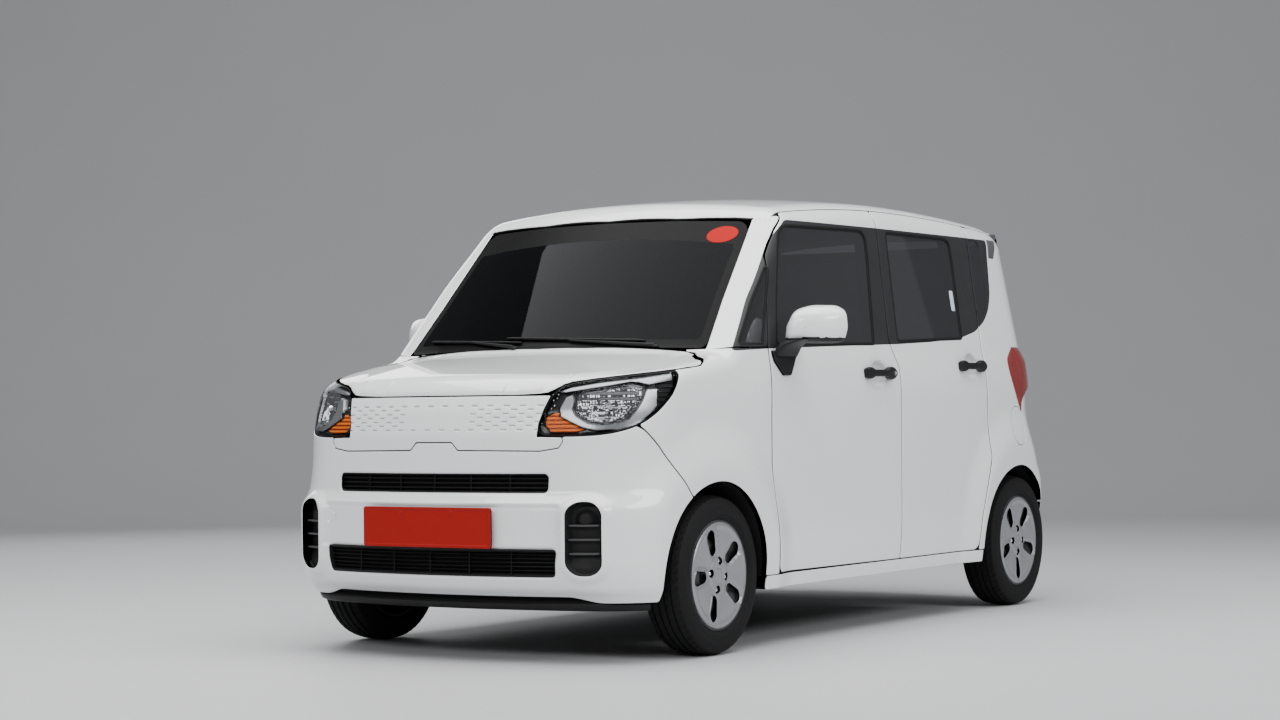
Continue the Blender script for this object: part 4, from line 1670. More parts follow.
def stuff_pads(cap=12.0, frames=20, pressure=4.0):
    """Swells all cushions under their stuffing, limits the swelling, then sews the channels in."""
    sc = bpy.context.scene
    for d in PADS:
        md = d["ob"].modifiers.new("even", "REMESH")
        md.mode = "VOXEL"
        md.voxel_size = d["voxel"] / 1000.0
        baked(d["ob"])
        d["rest"] = points(d["ob"].data)
    for d in PADS:
        cl = d["ob"].modifiers.new("Cloth", "CLOTH")
        st = cl.settings
        st.quality = 4
        st.mass = 0.3
        st.use_pressure = True
        st.uniform_pressure_force = pressure
        st.effector_weights.gravity = 0.0
        st.tension_stiffness = 20
        st.compression_stiffness = 20
        st.bending_stiffness = 2.0
        cl.collision_settings.use_collision = False
        cl.point_cache.frame_start = 1
        cl.point_cache.frame_end = frames
    for f in range(1, frames + 1):
        sc.frame_set(f)
    for d in PADS:
        baked(d["ob"])
    sc.frame_set(1)
    for d in PADS:
        ob = d["ob"]
        V = points(ob.data)
        mv = V - d["rest"]
        ln = np.linalg.norm(mv, axis=1)
        k = np.where(ln > 1e-9, cap / 1000.0 * np.tanh(ln / (cap / 1000.0)) / np.maximum(ln, 1e-9), 0.0)
        V = d["rest"] + mv * k[:, None]
        ob.data.vertices.foreach_set("co", V.ravel())
        md = ob.modifiers.new("fine", "SUBSURF")
        md.levels = md.render_levels = 1
        baked(ob)
        V = points(ob.data) * 1000.0
        P, nn, L = d["P"], d["nn"], d["L"]
        out = np.empty(len(V))
        S = np.empty(len(V))
        for a in range(0, len(V), 20000):
            q = V[a:a + 20000, 1:3]
            D = (q[:, None, 0] - P[None, :, 0]) ** 2 + (q[:, None, 1] - P[None, :, 1]) ** 2
            i = D.argmin(1)
            S[a:a + 20000] = L[i]
            out[a:a + 20000] = ((q - P[i]) * nn[i]).sum(1)
            tt = np.gradient(P, axis=0)
            tt /= np.linalg.norm(tt, axis=1, keepdims=True)
            S[a:a + 20000] += np.clip(((q - P[i]) * tt[i]).sum(1), -12, 12)
        up = ss(0.0, 14.0, out)
        ax_ = np.abs(V[:, 0] - d["xc"])
        endf = ss(10.0, 40.0, np.minimum(S, L[-1] - S))
        dep = np.zeros(len(V))
        for q in d["seams"]:
            dep = np.maximum(dep, 8.0 * np.exp(-((ax_ - q) / 7.0) ** 2) * endf)
        for q in d["cross"]:
            dep = np.maximum(dep, 7.0 * np.exp(-((S - q * L[-1]) / 7.5) ** 2) * (1 - ss(0.60, 0.72, ax_ / d["wv"])))
        # piping ridge where the top meets the sides
        dep = dep - 2.2 * np.exp(-((out - 12.0) / 3.2) ** 2) * ss(0.80, 0.93, ax_ / d["wv"])
        i = ((V[:, None, 1] - P[None, ::6, 0]) ** 2 + (V[:, None, 2] - P[None, ::6, 1]) ** 2).argmin(1) * 6
        V[:, 1] -= nn[i, 0] * dep * np.where(dep > 0, up, 1.0)
        V[:, 2] -= nn[i, 1] * dep * np.where(dep > 0, up, 1.0)
        ob.data.vertices.foreach_set("co", (V / 1000.0).ravel())
        ob.data.polygons.foreach_set("use_smooth", np.ones(len(ob.data.polygons), bool))
        ob.data.update()


for sx, tag in ((1, "left"), (-1, "right")):
    xc = 350 * sx
    parts = [
        pad("v_seat_base_" + tag, [(-425, 478), (-300, 492), (-120, 478), (60, 452), (110, 446)], 440, 128, xc, seams=(118,), cross=(0.36, 0.62), bolster=22, crown=14),
        pad("v_seat_back_" + tag, [(98, 500), (84, 640), (104, 820), (138, 980), (172, 1108)], 436, 104, xc, seams=(112,), cross=(0.3, 0.52, 0.74), bolster=26, crown=8, taper=(1.0, 0.86)),
        pad("v_head_rest_" + tag, [(170, 1135), (172, 1180), (182, 1236)], 236, 84, xc, crown=10, cross=(0.5,), power=0.55, voxel=12.0),
    ]
    for o in parts:
        finish_piece(o, "body", ["front_seats"])
    sm = Mesh()
    for dx in (-52, 52):
        sm.tube([(xc + dx, 168, 1085), (xc + dx, 172, 1150)], 5.5, 1, 12)
    for dx in (-188, 188):
        sm.box([xc + dx - 14, -372, 240.5], [xc + dx + 14, 82, 268], 1, 3)
    sm.box([xc - 205, -350, 268], [xc + 205, 110, 412], 0, 14)
    sm.box([xc - 222, -300, 380], [xc - 206, 130, 440], 0, 6)
    sm.box([xc + 206, -300, 380], [xc + 222, 130, 440], 0, 6)
    finish_piece(sm.make("v_seat_frame_" + tag, [M["cabin_plastic"], M["steel_dark"]], angle=30), "body", ["front_seats"])
for k, (x0, x1) in enumerate(((-560, -8), (8, 560))):
    xc, wd = (x0 + x1) / 2, x1 - x0
    tag = ("right", "left")[k]
    for o in (pad("v_rear_base_" + tag, [(516, 470), (640, 482), (800, 470), (935, 452)], wd, 128, xc, seams=(150,), cross=(0.5,), bolster=10, crown=12),
              pad("v_rear_back_" + tag, [(976, 480), (985, 640), (1022, 840), (1066, 1010), (1086, 1086)], wd, 96, xc, seams=(150,), cross=(0.36, 0.66), bolster=12, crown=8),
              pad("v_rear_head_rest_" + tag, [(1074, 1118), (1080, 1158), (1088, 1200)], 236, 66, xc * 1.12, crown=8, power=0.55, voxel=12.0)):
        finish_piece(o, "body", ["rear_seat"])
stuff_pads()
rm = Mesh()
rm.box([-556, 530, 240.5], [556, 930, 408], 0, 16)
for s_ in (-1, 1):
    for dx in (-48, 48):
        rm.tube([(s_ * 318 + dx, 1078, 1060), (s_ * 318 + dx, 1080, 1130)], 5, 1, 10)
finish_piece(rm.make("v_rear_seat_frame", [M["cabin_plastic"], M["steel_dark"]], angle=30), "body", ["rear_seat"])


# ------------------------------------------------------------------ dashboard, column, steering wheel, inner mirror
def dash_rings():
    xs = np.concatenate([np.linspace(-558, 130, 40), np.linspace(140, 580, 44)[:-2], [558]])
    xs = np.unique(np.clip(xs, -558, 558))
    out = []
    for x in xs:
        hood = math.exp(-(((x - 360) / 165.0) ** 4)) * 34
        mid = math.exp(-((x / 150.0) ** 4))
        kn = 60 * mid
        pts = [(-888, 1040), (-830, 1043), (-740, 1030 + hood * 0.3), (-690, 1012 + hood), (-655, 998 + hood), (-640, 982 + hood * 0.6), (-652, 960), (-640, 930), (-618 + 10 * mid, 900), (-612 + 12 * mid, 850), (-622 + 20 * mid, 800), (-650 + kn * 0.6, 760), (-690 + kn, 700), (-730 + kn, 640), (-790 + kn * 0.7, 585), (-850, 570), (-888, 640)]
        out.append(np.array([(x, y, z) for y, z in chain(pts, 3)]))
    return np.array(out)


dm_ = Mesh()
R = dash_rings()
dm_.grid(R, 0)
dm_.cap(R[0], 0)
dm_.cap(R[-1], 0, flip=True)
# air vents, middle screen, switches
for xc, zc, wd in ((-70, 905, 96), (70, 905, 96), (-500, 905, 90), (520, 905, 60)):
    dm_.box([xc - wd / 2, -634, zc - 26], [xc + wd / 2, -602, zc + 26], 1, 5)
    for k in range(5):
        dm_.box([xc - wd / 2 + 5, -604, zc - 20 + 9 * k], [xc + wd / 2 - 5, -598, zc - 17 + 9 * k], 0, 1)
dm_.box([-112, -622, 800], [112, -590, 872], 1, 6)
for k in range(3):
    dm_.turn([(0, 17), (12, 16), (16, 13), (16, 0.1)], (-70 + 70 * k, -592, 752), "y", 1, 24)
dm_.box([-470, -628, 690], [-190, -618, 800], 0, 8)
dm_.box([-40, -600, 610], [40, -566, 690], 1, 10)
dm_.tube([(0, -570, 690), (0, -545, 742)], 7, 1, 12)
dm_.tube([(0, -547, 738), (0, -540, 752), (0, -538, 770)], [14, 20, 15], 1, 16)
d0, ax_ = np.array([360, -470, 935.0]), np.array([0, 0.906, 0.423])
dm_.tube([d0 - ax_ * 320, d0 - ax_ * 60, d0 - ax_ * 32], [46, 44, 36], 0, 28)
for s_ in (-1, 1):
    e = d0 - ax_ * 62
    dm_.tube([e + [s_ * 30, 0, 0], e + [s_ * 110, 12, 12], e + [s_ * 168, 14, 18]], [8, 6.5, 8], 1, 12)
for k, px in enumerate((300, 400)):
    dm_.box([px - 26, -800, 372], [px + 26, -786, 432], 1, 6)
    dm_.tube([(px, -795, 420), (px, -830, 600)], 7, 1, 8)
finish_piece(dm_.make("v_dashboard", [M["cabin_plastic"], M["gloss_black"]], angle=32, fix=True), "body", ["dashboard"])


def dial_piece():
    """Instrument panel: a dial with ticks and plain numbers."""
    me = Mesh()
    c = np.array([360.0, -636.0, 975.0])
    tilt = np.array([0, 0.95, 0.31])
    e1 = np.array([1.0, 0, 0])
    e2 = np.cross(tilt, e1)
    e2 = -e2 if e2[2] < 0 else e2
    w = np.linspace(0, 2 * math.pi, 60, endpoint=False)

    def ring(r, h):
        return c + tilt * h + r * (np.outer(np.cos(w), e1) + np.outer(np.sin(w), e2))
    me.grid(np.array([ring(62, 0), ring(62, 7), ring(58, 8), ring(56, 3), ring(0.5, 2.5)]), 0, closed_v=True)
    for k in range(17):
        a = math.radians(225 - k * 270 / 16)
        d = np.cos(a) * e1 + np.sin(a) * e2
        q = np.cross(tilt, d)
        r0 = 44 if k % 2 == 0 else 48
        p0, p1 = c + tilt * 3.6 + d * r0, c + tilt * 3.6 + d * 53
        me.add([p0 - q * 0.8, p1 - q * 0.8, p1 + q * 0.8, p0 + q * 0.8], [(0, 1, 2, 3)], 1)
    d = np.cos(math.radians(215)) * e1 + np.sin(math.radians(215)) * e2
    q = np.cross(tilt, d)
    me.add([c + tilt * 5 - q * 2, c + tilt * 5 + d * 46, c + tilt * 5 + q * 2, c + tilt * 5 - d * 8], [(0, 1, 2, 3)], 2)
    return me.make("v_dial", [M["deep_black"], M["sticker_white"], M["sticker_red"]], angle=30, fix=True)


finish_piece(dial_piece(), "body", [])


def steering():
    me = Mesh()
    c = np.array([360.0, -470.0, 935.0])
    ax = np.array([0, 0.906, 0.423])
    ax /= np.linalg.norm(ax)
    e1 = np.array([1.0, 0, 0])
    e2 = np.cross(e1, ax)
    e2 = -e2 if e2[2] < 0 else e2
    w = np.linspace(0, 2 * math.pi, 96, endpoint=False)
    v = np.linspace(0, 2 * math.pi, 16, endpoint=False)
    pts = np.zeros((96, 16, 3))
    for i, a in enumerate(w):
        d = np.cos(a) * e1 + np.sin(a) * e2
        grip = 1 + 0.10 * (math.exp(-((a - math.pi * 0.15) / 0.25) ** 2) + math.exp(-((a - math.pi * 0.85) / 0.25) ** 2))
        r = 13.2 * grip
        for j, b in enumerate(v):
            pts[i, j] = c + d * (177 + r * math.cos(b)) + ax * (r * math.sin(b))
    me.grid(pts, 0, closed_u=True, closed_v=True)
    # hub pad: rounded triangle with a raised blank middle
    hub = []
    w2 = np.linspace(0, 2 * math.pi, 60, endpoint=False)
    for h, k in ((-20, 0.82), (0, 1.0), (10, 0.97), (18, 0.86), (22, 0.6), (23.5, 0.30), (23.5, 0.01)):
        rr = (66 + 9 * np.cos(3 * (w2 + math.pi / 2))) * k
        hub.append(c + ax * (h - 6) + np.outer(rr * np.cos(w2), e1) + np.outer(rr * np.sin(w2) * 0.92, e2))
    me.grid(np.array(hub), 1, closed_v=True)
    for a, wd in ((0.12, 20), (math.pi - 0.12, 20), (-math.pi / 2 - 0.16, 14), (-math.pi / 2 + 0.16, 14)):
        d = np.cos(a) * e1 + np.sin(a) * e2
        me.tube([c + d * 50 - ax * 4, c + d * 115 - ax * 6, c + d * 170 - ax * 1], [wd * 0.75, wd * 0.55, wd * 0.62], 1, 14)
    ob = me.make("v_steering_wheel", [M["cabin_plastic"], M["gloss_black"]], angle=50, fix=True)
    return ob


finish_piece(steering(), "steering_wheel", ["steering_wheel"])
im = Mesh()
w = np.linspace(0, 2 * math.pi, 48, endpoint=False)
rr = []
for dy, k in ((-16, 0.05), (-16, 0.5), (-14, 0.8), (-8, 0.96), (0, 1.0), (4, 0.98), (4, 0.93), (3, 0.90), (3, 0.02)):
    cs, sn = np.cos(w), np.sin(w)
    rr.append(np.stack([112 * k * np.sign(cs) * np.abs(cs) ** 0.6 + (0 if k > 0.1 else 0), np.full(48, -470.0 + dy), 1480 + 32 * k * np.sign(sn) * np.abs(sn) ** 0.7], 1))
im.grid(np.array(rr[:-2]), 0, closed_v=True)
im.grid(np.array(rr[-3:]), 1, closed_v=True)
im.tube([(0, -480, 1492), (0, -510, 1520), (0, -540, 1542)], [9, 7, 12], 0, 12)
finish_piece(im.make("v_inner_mirror", [M["cabin_plastic"], M["mirror_face"]], angle=45, fix=True), "body", [])
for s_ in (-1, 1):
    vm = Mesh()
    vm.box([min(s_ * 130, s_ * 500), -470, 1556], [max(s_ * 130, s_ * 500), -330, 1570], 0, 6)
    finish_piece(vm.make("v_sun_visor_" + ("left" if s_ > 0 else "right"), [M["cabin_light"]]), "body", [])

# door linings: arm rest, pull cup, pocket, speaker ring, winder boss
for nm, body_l, body_r, y0, y1 in (("front", "front_door_left", "front_door_right", -560, 120), ("rear", "rear_door_left", "body", 330, 960)):
    tm = Mesh()
    tm.box([640, y0 + 90, 690], [702, y1 - 60, 742], 0, 16)
    tm.box([668, y0 + 40, 400], [702, y1 - 120, 560], 0, 20)
    tm.box([656, y0 + 60, 545], [700, y1 - 140, 560], 0, 6)
    tm.turn([(0, 78), (6, 78), (9, 72), (5, 66), (3, 10), (3, 0.1)], (694, y0 + 110, 470), "x", 1, 40, s=-1)
    tm.tube([(694, y1 - 150, 850), (676, y1 - 148, 852), (674, y1 - 100, 854), (676, y1 - 60, 856)], [9, 9, 7, 7], 1, 12)
    tl_ = tm.make("v_trim_%s_left" % nm, [M["cabin_plastic"], M["black_plastic"]], angle=30, fix=True)
    tr_ = mirrored(tl_, "v_trim_%s_right" % nm)
    finish_piece(tl_, body_l, [])
    finish_piece(tr_, body_r, [])


# ------------------------------------------------------------------ seals, wipers, stickers
def ring_side(name, poly, ray, widths, depths, mats, step=10.0, k=1.0):
    """A rubber bead round a side window: rows at distances outwards from the outline, with their depths."""
    q = dense(poly, step)
    nrm = np.roll(q, -1, 0) - np.roll(q, 1, 0)
    nn = np.stack([-nrm[:, 1], nrm[:, 0]], 1)
    nn /= np.linalg.norm(nn, axis=1, keepdims=True) + 1e-9
    area = 0.5 * np.sum(q[:, 0] * np.roll(q[:, 1], -1) - np.roll(q[:, 0], -1) * q[:, 1])
    nn *= -1 if area > 0 else 1
    rows = []
    for wd, dp in zip(widths, depths):
        p = q + nn * wd
        rows.append(skin(ray, p[:, 0] * 1.0, p[:, 1], dp))
    me = Mesh()
    me.grid(np.array(rows), 0, closed_v=True)
    return me.make(name, mats, angle=60, fix=True)


for nm, poly, bl, brr in (("front", WIN_F, "front_door_left", "front_door_right"), ("rear", WIN_R, "rear_door_left", "body")):
    o = ring_side("v_seal_%s_left" % nm, poly, rx, (-7, -6, 0, 5, 6.5), (3.6, 1.0, -0.8, -0.8, 1.0), [M["rubber_seal"]])
    finish_piece(o, bl, [])
    finish_piece(mirrored(o, "v_seal_%s_right" % nm), brr, [])
o = ring_side("v_seal_corner_left", WIN_T, rx, (-6, -5, 0, 2.5, 3.5), (3.6, 1.0, -0.6, -0.6, 1.0), [M["rubber_seal"]])
finish_piece(o, "body", [])
finish_piece(mirrored(o, "v_seal_corner_right"), "body", [])
# the trim shape seen through the corner pane
o = pane("v_corner_trim_left", rx, (-975, -660), (1070, 1400), lambda x, y, z: np.minimum(sdf(WIN_T, y, z) - 1.0, 150 - np.hypot(y + 690, z - 1150) * 0.9), M["black_plastic"], inset=14.0)
finish_piece(o, "body", [])
finish_piece(mirrored(o, "v_corner_trim_right"), "body", [])
# roof ditch and door gap backing: dark rubber deep in every gap round the doors
for s_, tag in ((1, "left"), (-1, "right")):
    rmh = Mesh()
    ys = np.linspace(-545, 1500, 90)
    P = skin(r_z, np.full(90, 643.8), ys, 4.2)
    P[:, 0] *= s_
    rmh.tube(P, 3.4, 0, 8)
    P = skin(r_z, np.linspace(-636, 636, 60), np.interp(np.linspace(-636, 636, 60), [-641, -587, -300, 0, 300, 587, 641], [-548, -566, -616, -634, -616, -566, -548]) - 3.0, 4.2)
    if s_ > 0:
        rmh.tube(P, 3.2, 0, 8)
    finish_piece(rmh.make("v_roof_strip_" + tag, [M["rubber_seal"]]), "body", [])
gp = Mesh()
for poly, ray_, deps in ((DOOR_F, rx, 24.0), (DOOR_R, rx, 24.0)):
    q = dense(poly, 14.0)
    q = q[(q[:, 1] < 1600)]
    nxt = np.linalg.norm(np.diff(q, axis=0), axis=1)
    cuts = [0] + [i + 1 for i in np.where(nxt > 60)[0]] + [len(q)]
    for a, b in zip(cuts, cuts[1:]):
        if b - a > 3:
            P = skin(ray_, q[a:b, 0], q[a:b, 1], deps)
            gp.tube(P, 5.0, 0, 6, caps=False)
            P2 = P.copy()
            P2[:, 0] *= -1
            gp.tube(P2, 5.0, 0, 6, caps=False)
finish_piece(gp.make("v_door_seals", [M["rubber_seal"]]), "body", [])


def wiper(name, ray, pivot, tip, blade_a, blade_b, body, out=7.0):
    """Arm from the pivot to the middle of the blade, and the blade lying on the glass."""
    me = Mesh()

    def on(p, h):
        return skin(ray, np.array([float(p[0])]), np.array([float(p[1])]), -h)[0]
    pv = on(pivot, out + 3)
    me.tube([pv - [0, 0, 6], pv, pv + [0, 0, 2.5]], [13, 12, 8], 0, 18)
    arm = [np.array(pivot) + (np.array(tip) - np.array(pivot)) * t for t in np.linspace(0, 1, 9)]
    A = np.array([on(p, out + 6 - 3 * t) for p, t in zip(arm, np.linspace(0, 1, 9))])
    me.tube(A, list(np.linspace(7.5, 4.2, 9)), 0, 10)
    bl = [np.array(blade_a) + (np.array(blade_b) - np.array(blade_a)) * t for t in np.linspace(0, 1, 25)]
    B_ = np.array([on(p, out + 1.5) for p in bl])
    me.tube(B_, [3.0] + [5.0] * 23 + [3.0], 0, 8)
    B2 = np.array([on(p, out - 4.5) for p in bl])
    me.tube(B2, 2.0, 1, 6)
    o_ = me.make(name, [M["black_plastic"], M["rubber_seal"]], angle=50, fix=True)
    finish_piece(o_, body, [])


wiper("v_wiper_left", r_y, (470, 1082), (120, 1106), (420, 1100), (-170, 1120), "body")
wiper("v_wiper_right", r_y, (-110, 1086), (-330, 1108), (-90, 1102), (-560, 1116), "body")
wiper("v_wiper_rear", r_yr, (0, 1145), (180, 1172), (20, 1158), (330, 1182), "tailgate")


def flat_patch(name, ray, cu, cv, ru, rv, mat, body, lift=-1.4, power=1.0, sc=1.0):
    w_ = np.linspace(0, 2 * math.pi, 48, endpoint=False)
    me = Mesh()
    rows = []
    for k in (1.0, 0.93, 0.6, 0.02):
        cs, sn = np.cos(w_), np.sin(w_)
        rows.append(skin(ray, cu + ru * k * np.sign(cs) * np.abs(cs) ** power, cv + rv * k * np.sign(sn) * np.abs(sn) ** power, lift - (0.4 if k < 0.95 else 0)))
    me.grid(np.array(rows), 0, closed_v=True)
    o_ = me.make(name, [mat], angle=80, fix=True)
    finish_piece(o_, body, [])
    return o_


flat_patch("v_sticker_round", r_y, 505.0, 1497.0, 58, 32, M["sticker_red"], "body", lift=-0.2)
flat_patch("v_sticker_small", rx, 846.0, 1290.0, 17, 42, M["sticker_white"], "rear_door_left", lift=2.6, power=0.25)
flat_patch("v_sticker_small_band", rx, 846.0, 1306.0, 16, 12, M["sticker_blue"] if "sticker_blue" in M else M["sticker_white"], "rear_door_left", lift=2.0, power=0.25)


# ------------------------------------------------------------------ arch liners, under the floor, engine bay
def liner(name, yc, af, ar, b, x_in, s_):
    me = Mesh()
    a = np.linspace(math.radians(-14), math.radians(194), 64)
    ca, sa = np.cos(a), np.sin(a)
    yy = yc + np.where(ca < 0, af, ar) * ca * 1.0
    more = 20.0 if yc < 0 else 0.0
    zz = HZ + b * sa
    yo = yc + (np.where(ca < 0, af, ar) + 5) * ca
    zo = HZ + (b + 5) * sa
    rows = []
    edge_x = np.minimum(side_x(yo, zo), skin(rx, yo, np.maximum(zo, 230.0))[:, 0]) - 21
    for t in np.linspace(0, 1, 6):
        xo = edge_x
        x = x_in + (xo - x_in) * t
        grow_ = more * (1 - t ** 6)
        rows.append(np.stack([x * s_, yo + grow_ * ca, np.maximum(zo + grow_ * 0.5 * sa, 212.0)], 1))
    R = np.array(rows)
    me.grid(R, 0, flip=s_ < 0)
    inner = R[0]
    c = np.array([x_in * s_, yc, 330.0])
    n = len(inner)
    fs = [(i, i + 1, n) for i in range(n - 1)]
    me.add(np.vstack([inner, c]), fs, 0)
    return me.make(name, [M["liner"]], angle=60)


for s_, tag in ((1, "left"), (-1, "right")):
    finish_piece(liner("v_liner_front_" + tag, YF, 328, 300, 325, 456, s_), "body", [])
    finish_piece(liner("v_liner_rear_" + tag, YR, 382, 301, 323, 505, s_), "body", [])
    sp_ = Mesh()
    xk = 590 * s_
    sp_.tube([(xk, YF, 415), (xk, YF, 560), (xk, YF + 4, 590)], [24, 24, 22], 0, 20)
    a = np.linspace(0, 2 * math.pi * 4.5, 150)
    sp_.tube(np.stack([xk - 8 * s_ + 46 * np.cos(a) * 0.9, YF + 46 * np.sin(a) * 0.9, 566 + a / a[-1] * 26], 1), 5.0, 1, 8)
    finish_piece(sp_.make("v_strut_" + tag, [M["steel_dark"], M["iron"]], angle=50), "knuckle_" + tag, [])
ub = Mesh()
ub.box([-260, 560, 150], [240, 960, 213], 0, 26)
for k in range(6):
    ub.box([-240, 590 + 60 * k, 147], [220, 606 + 60 * k, 152], 0, 2)
ub.tube(chain([(-120, -1040, 260), (-110, -880, 196), (-100, -500, 188), (-110, 0, 188), (-300, 380, 190), (-330, 700, 192), (-330, 1000, 205), (-330, 1150, 250), (-340, 1330, 262)], 8), 22, 1, 14)
ub.tube([(-470, 1480, 262), (-440, 1480, 262), (-180, 1480, 262), (-150, 1480, 262)], [30, 62, 62, 30], 1, 24)
ub.tube(chain([(-340, 1330, 262), (-345, 1400, 262), (-345, 1460, 262)], 6), 22, 1, 14)
ub.tube(chain([(-440, 1510, 255), (-470, 1600, 240), (-474, 1690, 232)], 6), 19, 1, 16)
for sx in (-1, 1):
    ub.box([min(sx * 430, sx * 500), -880, 186], [max(sx * 430, sx * 500), 940, 214], 0, 8)
finish_piece(ub.make("v_under_floor", [M["steel_dark"], M["iron"]], angle=35, fix=True), "body", [])
eb = Mesh()
eb.box([-318, -1548, 840], [218, -1090, 876], 0, 18)
for k in range(7):
    eb.box([-280 + 70 * k, -1520, 874], [-262 + 70 * k, -1130, 882], 0, 3)
eb.tube(chain([(218, -1300, 850), (300, -1320, 850), (360, -1300, 820), (400, -1240, 800)], 6), 30, 1, 16)
eb.box([265, -1500, 620], [420, -1330, 790], 1, 10)
eb.tube([(310, -1400, 790), (310, -1400, 802)], 9, 2, 12)
eb.tube([(375, -1400, 790), (375, -1400, 802)], 9, 2, 12)
eb.box([-330, -1625, 300], [330, -1590, 700], 3, 8)
for k in range(20):
    eb.box([-320, -1628, 312 + 19 * k], [320, -1624, 318 + 19 * k], 3, 1)
eb.tube(chain([(-330, -1608, 640), (-380, -1560, 680), (-340, -1500, 740)], 6), 18, 1, 12)
finish_piece(eb.make("v_engine_bay", [M["black_plastic"], M["rubber_seal"], M["steel_dark"], M["steel_dark"]], angle=30, fix=True), "body", [])


# ------------------------------------------------------------------ dark end pieces under the roof spoiler's corners
M["end_grey"] = material("end_grey", (0.075, 0.078, 0.082), 0.4, var=0.08, bump=0.1, bscale=800, spec=0.4)


def fin_piece(name):
    poly = dense(round_poly([(1512, 1606, 4), (1636, 1616, 12), (1604, 1566, 20), (1584, 1504, 8), (1530, 1494, 8), (1512, 1530, 6)]), 8.0)
    me = Mesh()
    c_ = poly.mean(0)
    rings = []
    for xo, k in ((560, 0.97), (561, 1.0), (570, 1.0), (573, 0.97), (574, 0.9)):
        q = c_ + (poly - c_) * k
        rings.append(np.stack([np.full(len(q), float(xo)), q[:, 0], q[:, 1]], 1))
    me.grid(np.array(rings), 0, closed_v=True)
    me.cap(rings[0], 0)
    me.cap(rings[-1], 0)
    return me.make(name, [M["end_grey"]], angle=50, fix=True)


o = fin_piece("v_spoiler_end_left")
finish_piece(o, "tailgate", [])
finish_piece(mirrored(o, "v_spoiler_end_right"), "tailgate", [])
Uq, Zq = np.meshgrid(np.linspace(0, 1, 14), np.linspace(1484, 1572, 12), indexing="ij")
tq = (Zq - 1484) / 88.0
ya, yb_ = 1282 + 18 * tq, 1338 + 66 * tq
Yq = ya + (yb_ - ya) * Uq
P = skin(rx, Yq, Zq, -2.0)
edge = 60 * np.minimum(np.minimum(Uq, 1 - Uq), np.minimum(tq, 1 - tq))
P[..., 0] -= 3.4 * (edge < 1.0)
me_ = Mesh()
me_.grid(P, 0)
o = me_.make("v_corner_end_left", [M["end_grey"]], angle=50, fix=True)
finish_piece(o, "body", [])
finish_piece(mirrored(o, "v_corner_end_right"), "body", [])


# ------------------------------------------------------------------ glass
gf = pane("v_glass_front_left", rx, (-720, 150), (1070, 1550), lambda x, y, z: sdf(WIN_F, y, z) - 0.3, M["g_side"])
gr = pane("v_glass_rear_left", rx, (270, 910), (1100, 1560), lambda x, y, z: sdf(WIN_R, y, z) - 0.3, M["g_rear"])
gfr, grr = mirrored(gf, "v_glass_front_right"), mirrored(gr, "v_glass_sliding_right")
finish_piece(gf, "front_door_left", ["front_door_glass_left"])
finish_piece(gr, "rear_door_left", ["rear_door_glass_left"])
finish_piece(gfr, "front_door_right", ["front_door_glass_right"])
finish_piece(grr, "body", ["sliding_door_glass_right"])
gq = pane("v_glass_quarter_left", r_pr, (43, 69), (1190, 1570), lambda x, y, z: sdf(WIN_Q, y, z) - 0.3, M["g_rear"], uscale=12.0, inset=3.0)
gt = pane("v_glass_corner_left", rx, (-975, -660), (1070, 1400), lambda x, y, z: sdf(WIN_T, y, z) - 0.3, M["g_side"])
gqr, gtr = mirrored(gq, "v_glass_quarter_right"), mirrored(gt, "v_glass_corner_right")
for o in (gq, gt, gqr, gtr):
    finish_piece(o, "body", ["side_glass"])
M["frit"] = material("frit", (0.004, 0.004, 0.0042), 0.35, var=0.2, bump=0.05, bscale=600, spec=0.06)
wsb = lambda x, y, z: np.maximum(30.0 - sdf(WSHIELD, x, z), (z - 1492 + x * x / 9000.0))
gw = pane("v_windshield", r_y, (-660, 660), (1062, 1566), lambda x, y, z: sdf(WSHIELD, x, z), M["g_windshield"], inset=1.0, band=wsb, bmat=M["frit"])
finish_piece(gw, "body", ["windshield"])
gb = pane("v_glass_tailgate", r_yr, (-550, 550), (1120, 1530), lambda x, y, z: sdf(WIN_B, x, z) - 0.3, M["g_rear"])
finish_piece(gb, "tailgate", ["tailgate_glass"])

# ------------------------------------------------------------------ the rest, plain for now
PLAIN = {"floor_pan": "liner", "side_frames": "paint_inner", "engine": "iron", "front_subframe": "steel_dark", "rear_axle": "steel_dark", "dashboard": "cabin_plastic", "front_seats": "seat_fabric", "rear_seat": "seat_fabric",
         "cowl_panel": "black_plastic", "steering_wheel": "cabin_plastic", "knuckle_left": "steel_dark", "knuckle_right": "steel_dark", "mirror_left": "paint_white", "mirror_right": "paint_white", "bumper_grilles": "deep_black",
         "headlamps": "lamp_silver", "tail_lamps": "lamp_red"}
for n, o in NODES.items():
    key = PLAIN.get(n)
    if key is None:
        key = "tyre_rubber" if n.startswith("tyre") else "cover_silver" if n.startswith("wheel") else "gloss_black" if "handle" in n else "liner"
    o.data.materials.clear()
    o.data.materials.append(M[key])

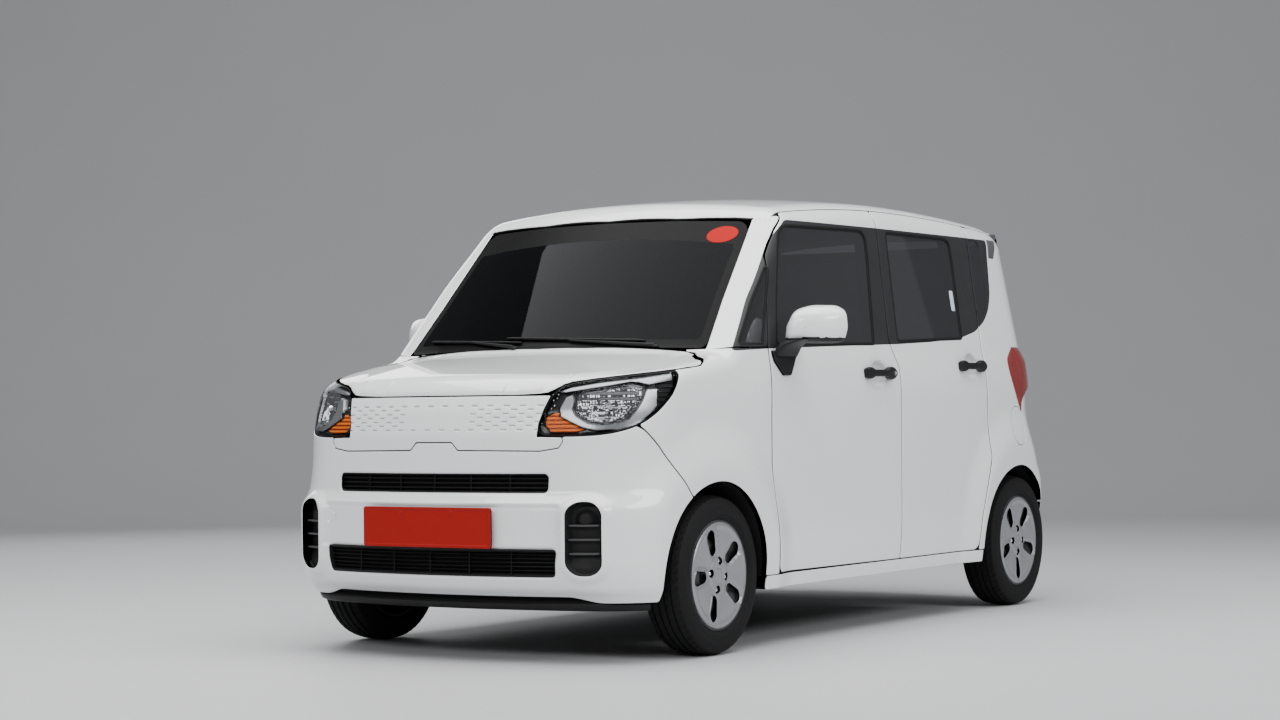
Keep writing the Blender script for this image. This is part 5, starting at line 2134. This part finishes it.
# ------------------------------------------------------------------ camera, floor, light
p = [5274.55, -8758.09, 850.78, math.radians(32.33909532), math.radians(-1.12562351), math.radians(-0.55828493), 2549.04]
yaw, pitch, roll = p[3], p[4], p[5]
fw = np.array([-math.sin(yaw) * math.cos(pitch), math.cos(yaw) * math.cos(pitch), -math.sin(pitch)])
r0 = np.array([math.cos(yaw), math.sin(yaw), 0.0])
u0 = np.cross(r0, fw)
right = math.cos(roll) * r0 + math.sin(roll) * u0
up = -math.sin(roll) * r0 + math.cos(roll) * u0
cam = bpy.data.cameras.new("cam")
cam.lens = 36.0 * p[6] / 1280.0
cam.sensor_width = 36.0
cam.clip_end = 200
co = bpy.data.objects.new("cam", cam)
bpy.context.scene.collection.objects.link(co)
m = Matrix(((right[0], up[0], -fw[0], p[0] / 1000), (right[1], up[1], -fw[1], p[1] / 1000), (right[2], up[2], -fw[2], p[2] / 1000), (0, 0, 0, 1)))
co.matrix_world = m
bpy.context.scene.camera = co


def floor_piece():
    """A pale floor that turns up into a back wall with a wide soft curve."""
    vs, fs = [], []
    prof = [(-14.0, 0.0)] + [(9.0 + 5.0 * math.sin(a), 5.0 - 5.0 * math.cos(a)) for a in np.linspace(0, math.pi / 2, 25)] + [(14.0, 12.0)]
    a = yaw
    for k, (d, h) in enumerate(prof):
        for s in (-22.0, 22.0):
            vs.append(((math.cos(a) * s - math.sin(a) * d) * 1000, (math.sin(a) * s + math.cos(a) * d) * 1000, h * 1000 - 0.4))
        if k:
            j = 2 * k
            fs.append((j - 2, j - 1, j + 1, j))
    return new_object("floor", vs, fs, None, [M_floor])


M_floor = material("floor_pale", (0.50, 0.505, 0.515), 0.55, var=0.02, scale=1.2, spec=0.25, rvar=0.05)
fl_ = floor_piece()


def area(name, loc, target, size, power, col=(1, 1, 1), sy=None):
    l = bpy.data.lights.new(name, "AREA")
    l.shape = "RECTANGLE"
    l.size = size
    l.size_y = sy or size
    l.energy = power
    l.color = col
    o = bpy.data.objects.new(name, l)
    o.location = loc
    d = Vector(target) - Vector(loc)
    o.rotation_euler = d.to_track_quat("-Z", "Y").to_euler()
    bpy.context.scene.collection.objects.link(o)
    return o


area("top", (0.5, -1.0, 6.5), (0, 0, 0), 9.0, 900, sy=7.0)
area("left", (8.5, -1.0, 4.6), (0, 0, 0.9), 5.0, 330, sy=2.4)
area("front", (1.5, -9.5, 4.8), (0, -1, 0.6), 6.0, 330, sy=2.2)
area("back", (-7.0, 4.0, 4.0), (0, 0, 0.8), 5.0, 130, sy=3.0)
w = bpy.data.worlds.new("world")
w.use_nodes = True
bg = w.node_tree.nodes["Background"]
bg.inputs[0].default_value = (0.92, 0.94, 0.97, 1)
bg.inputs[1].default_value = 0.34
bpy.context.scene.world = w
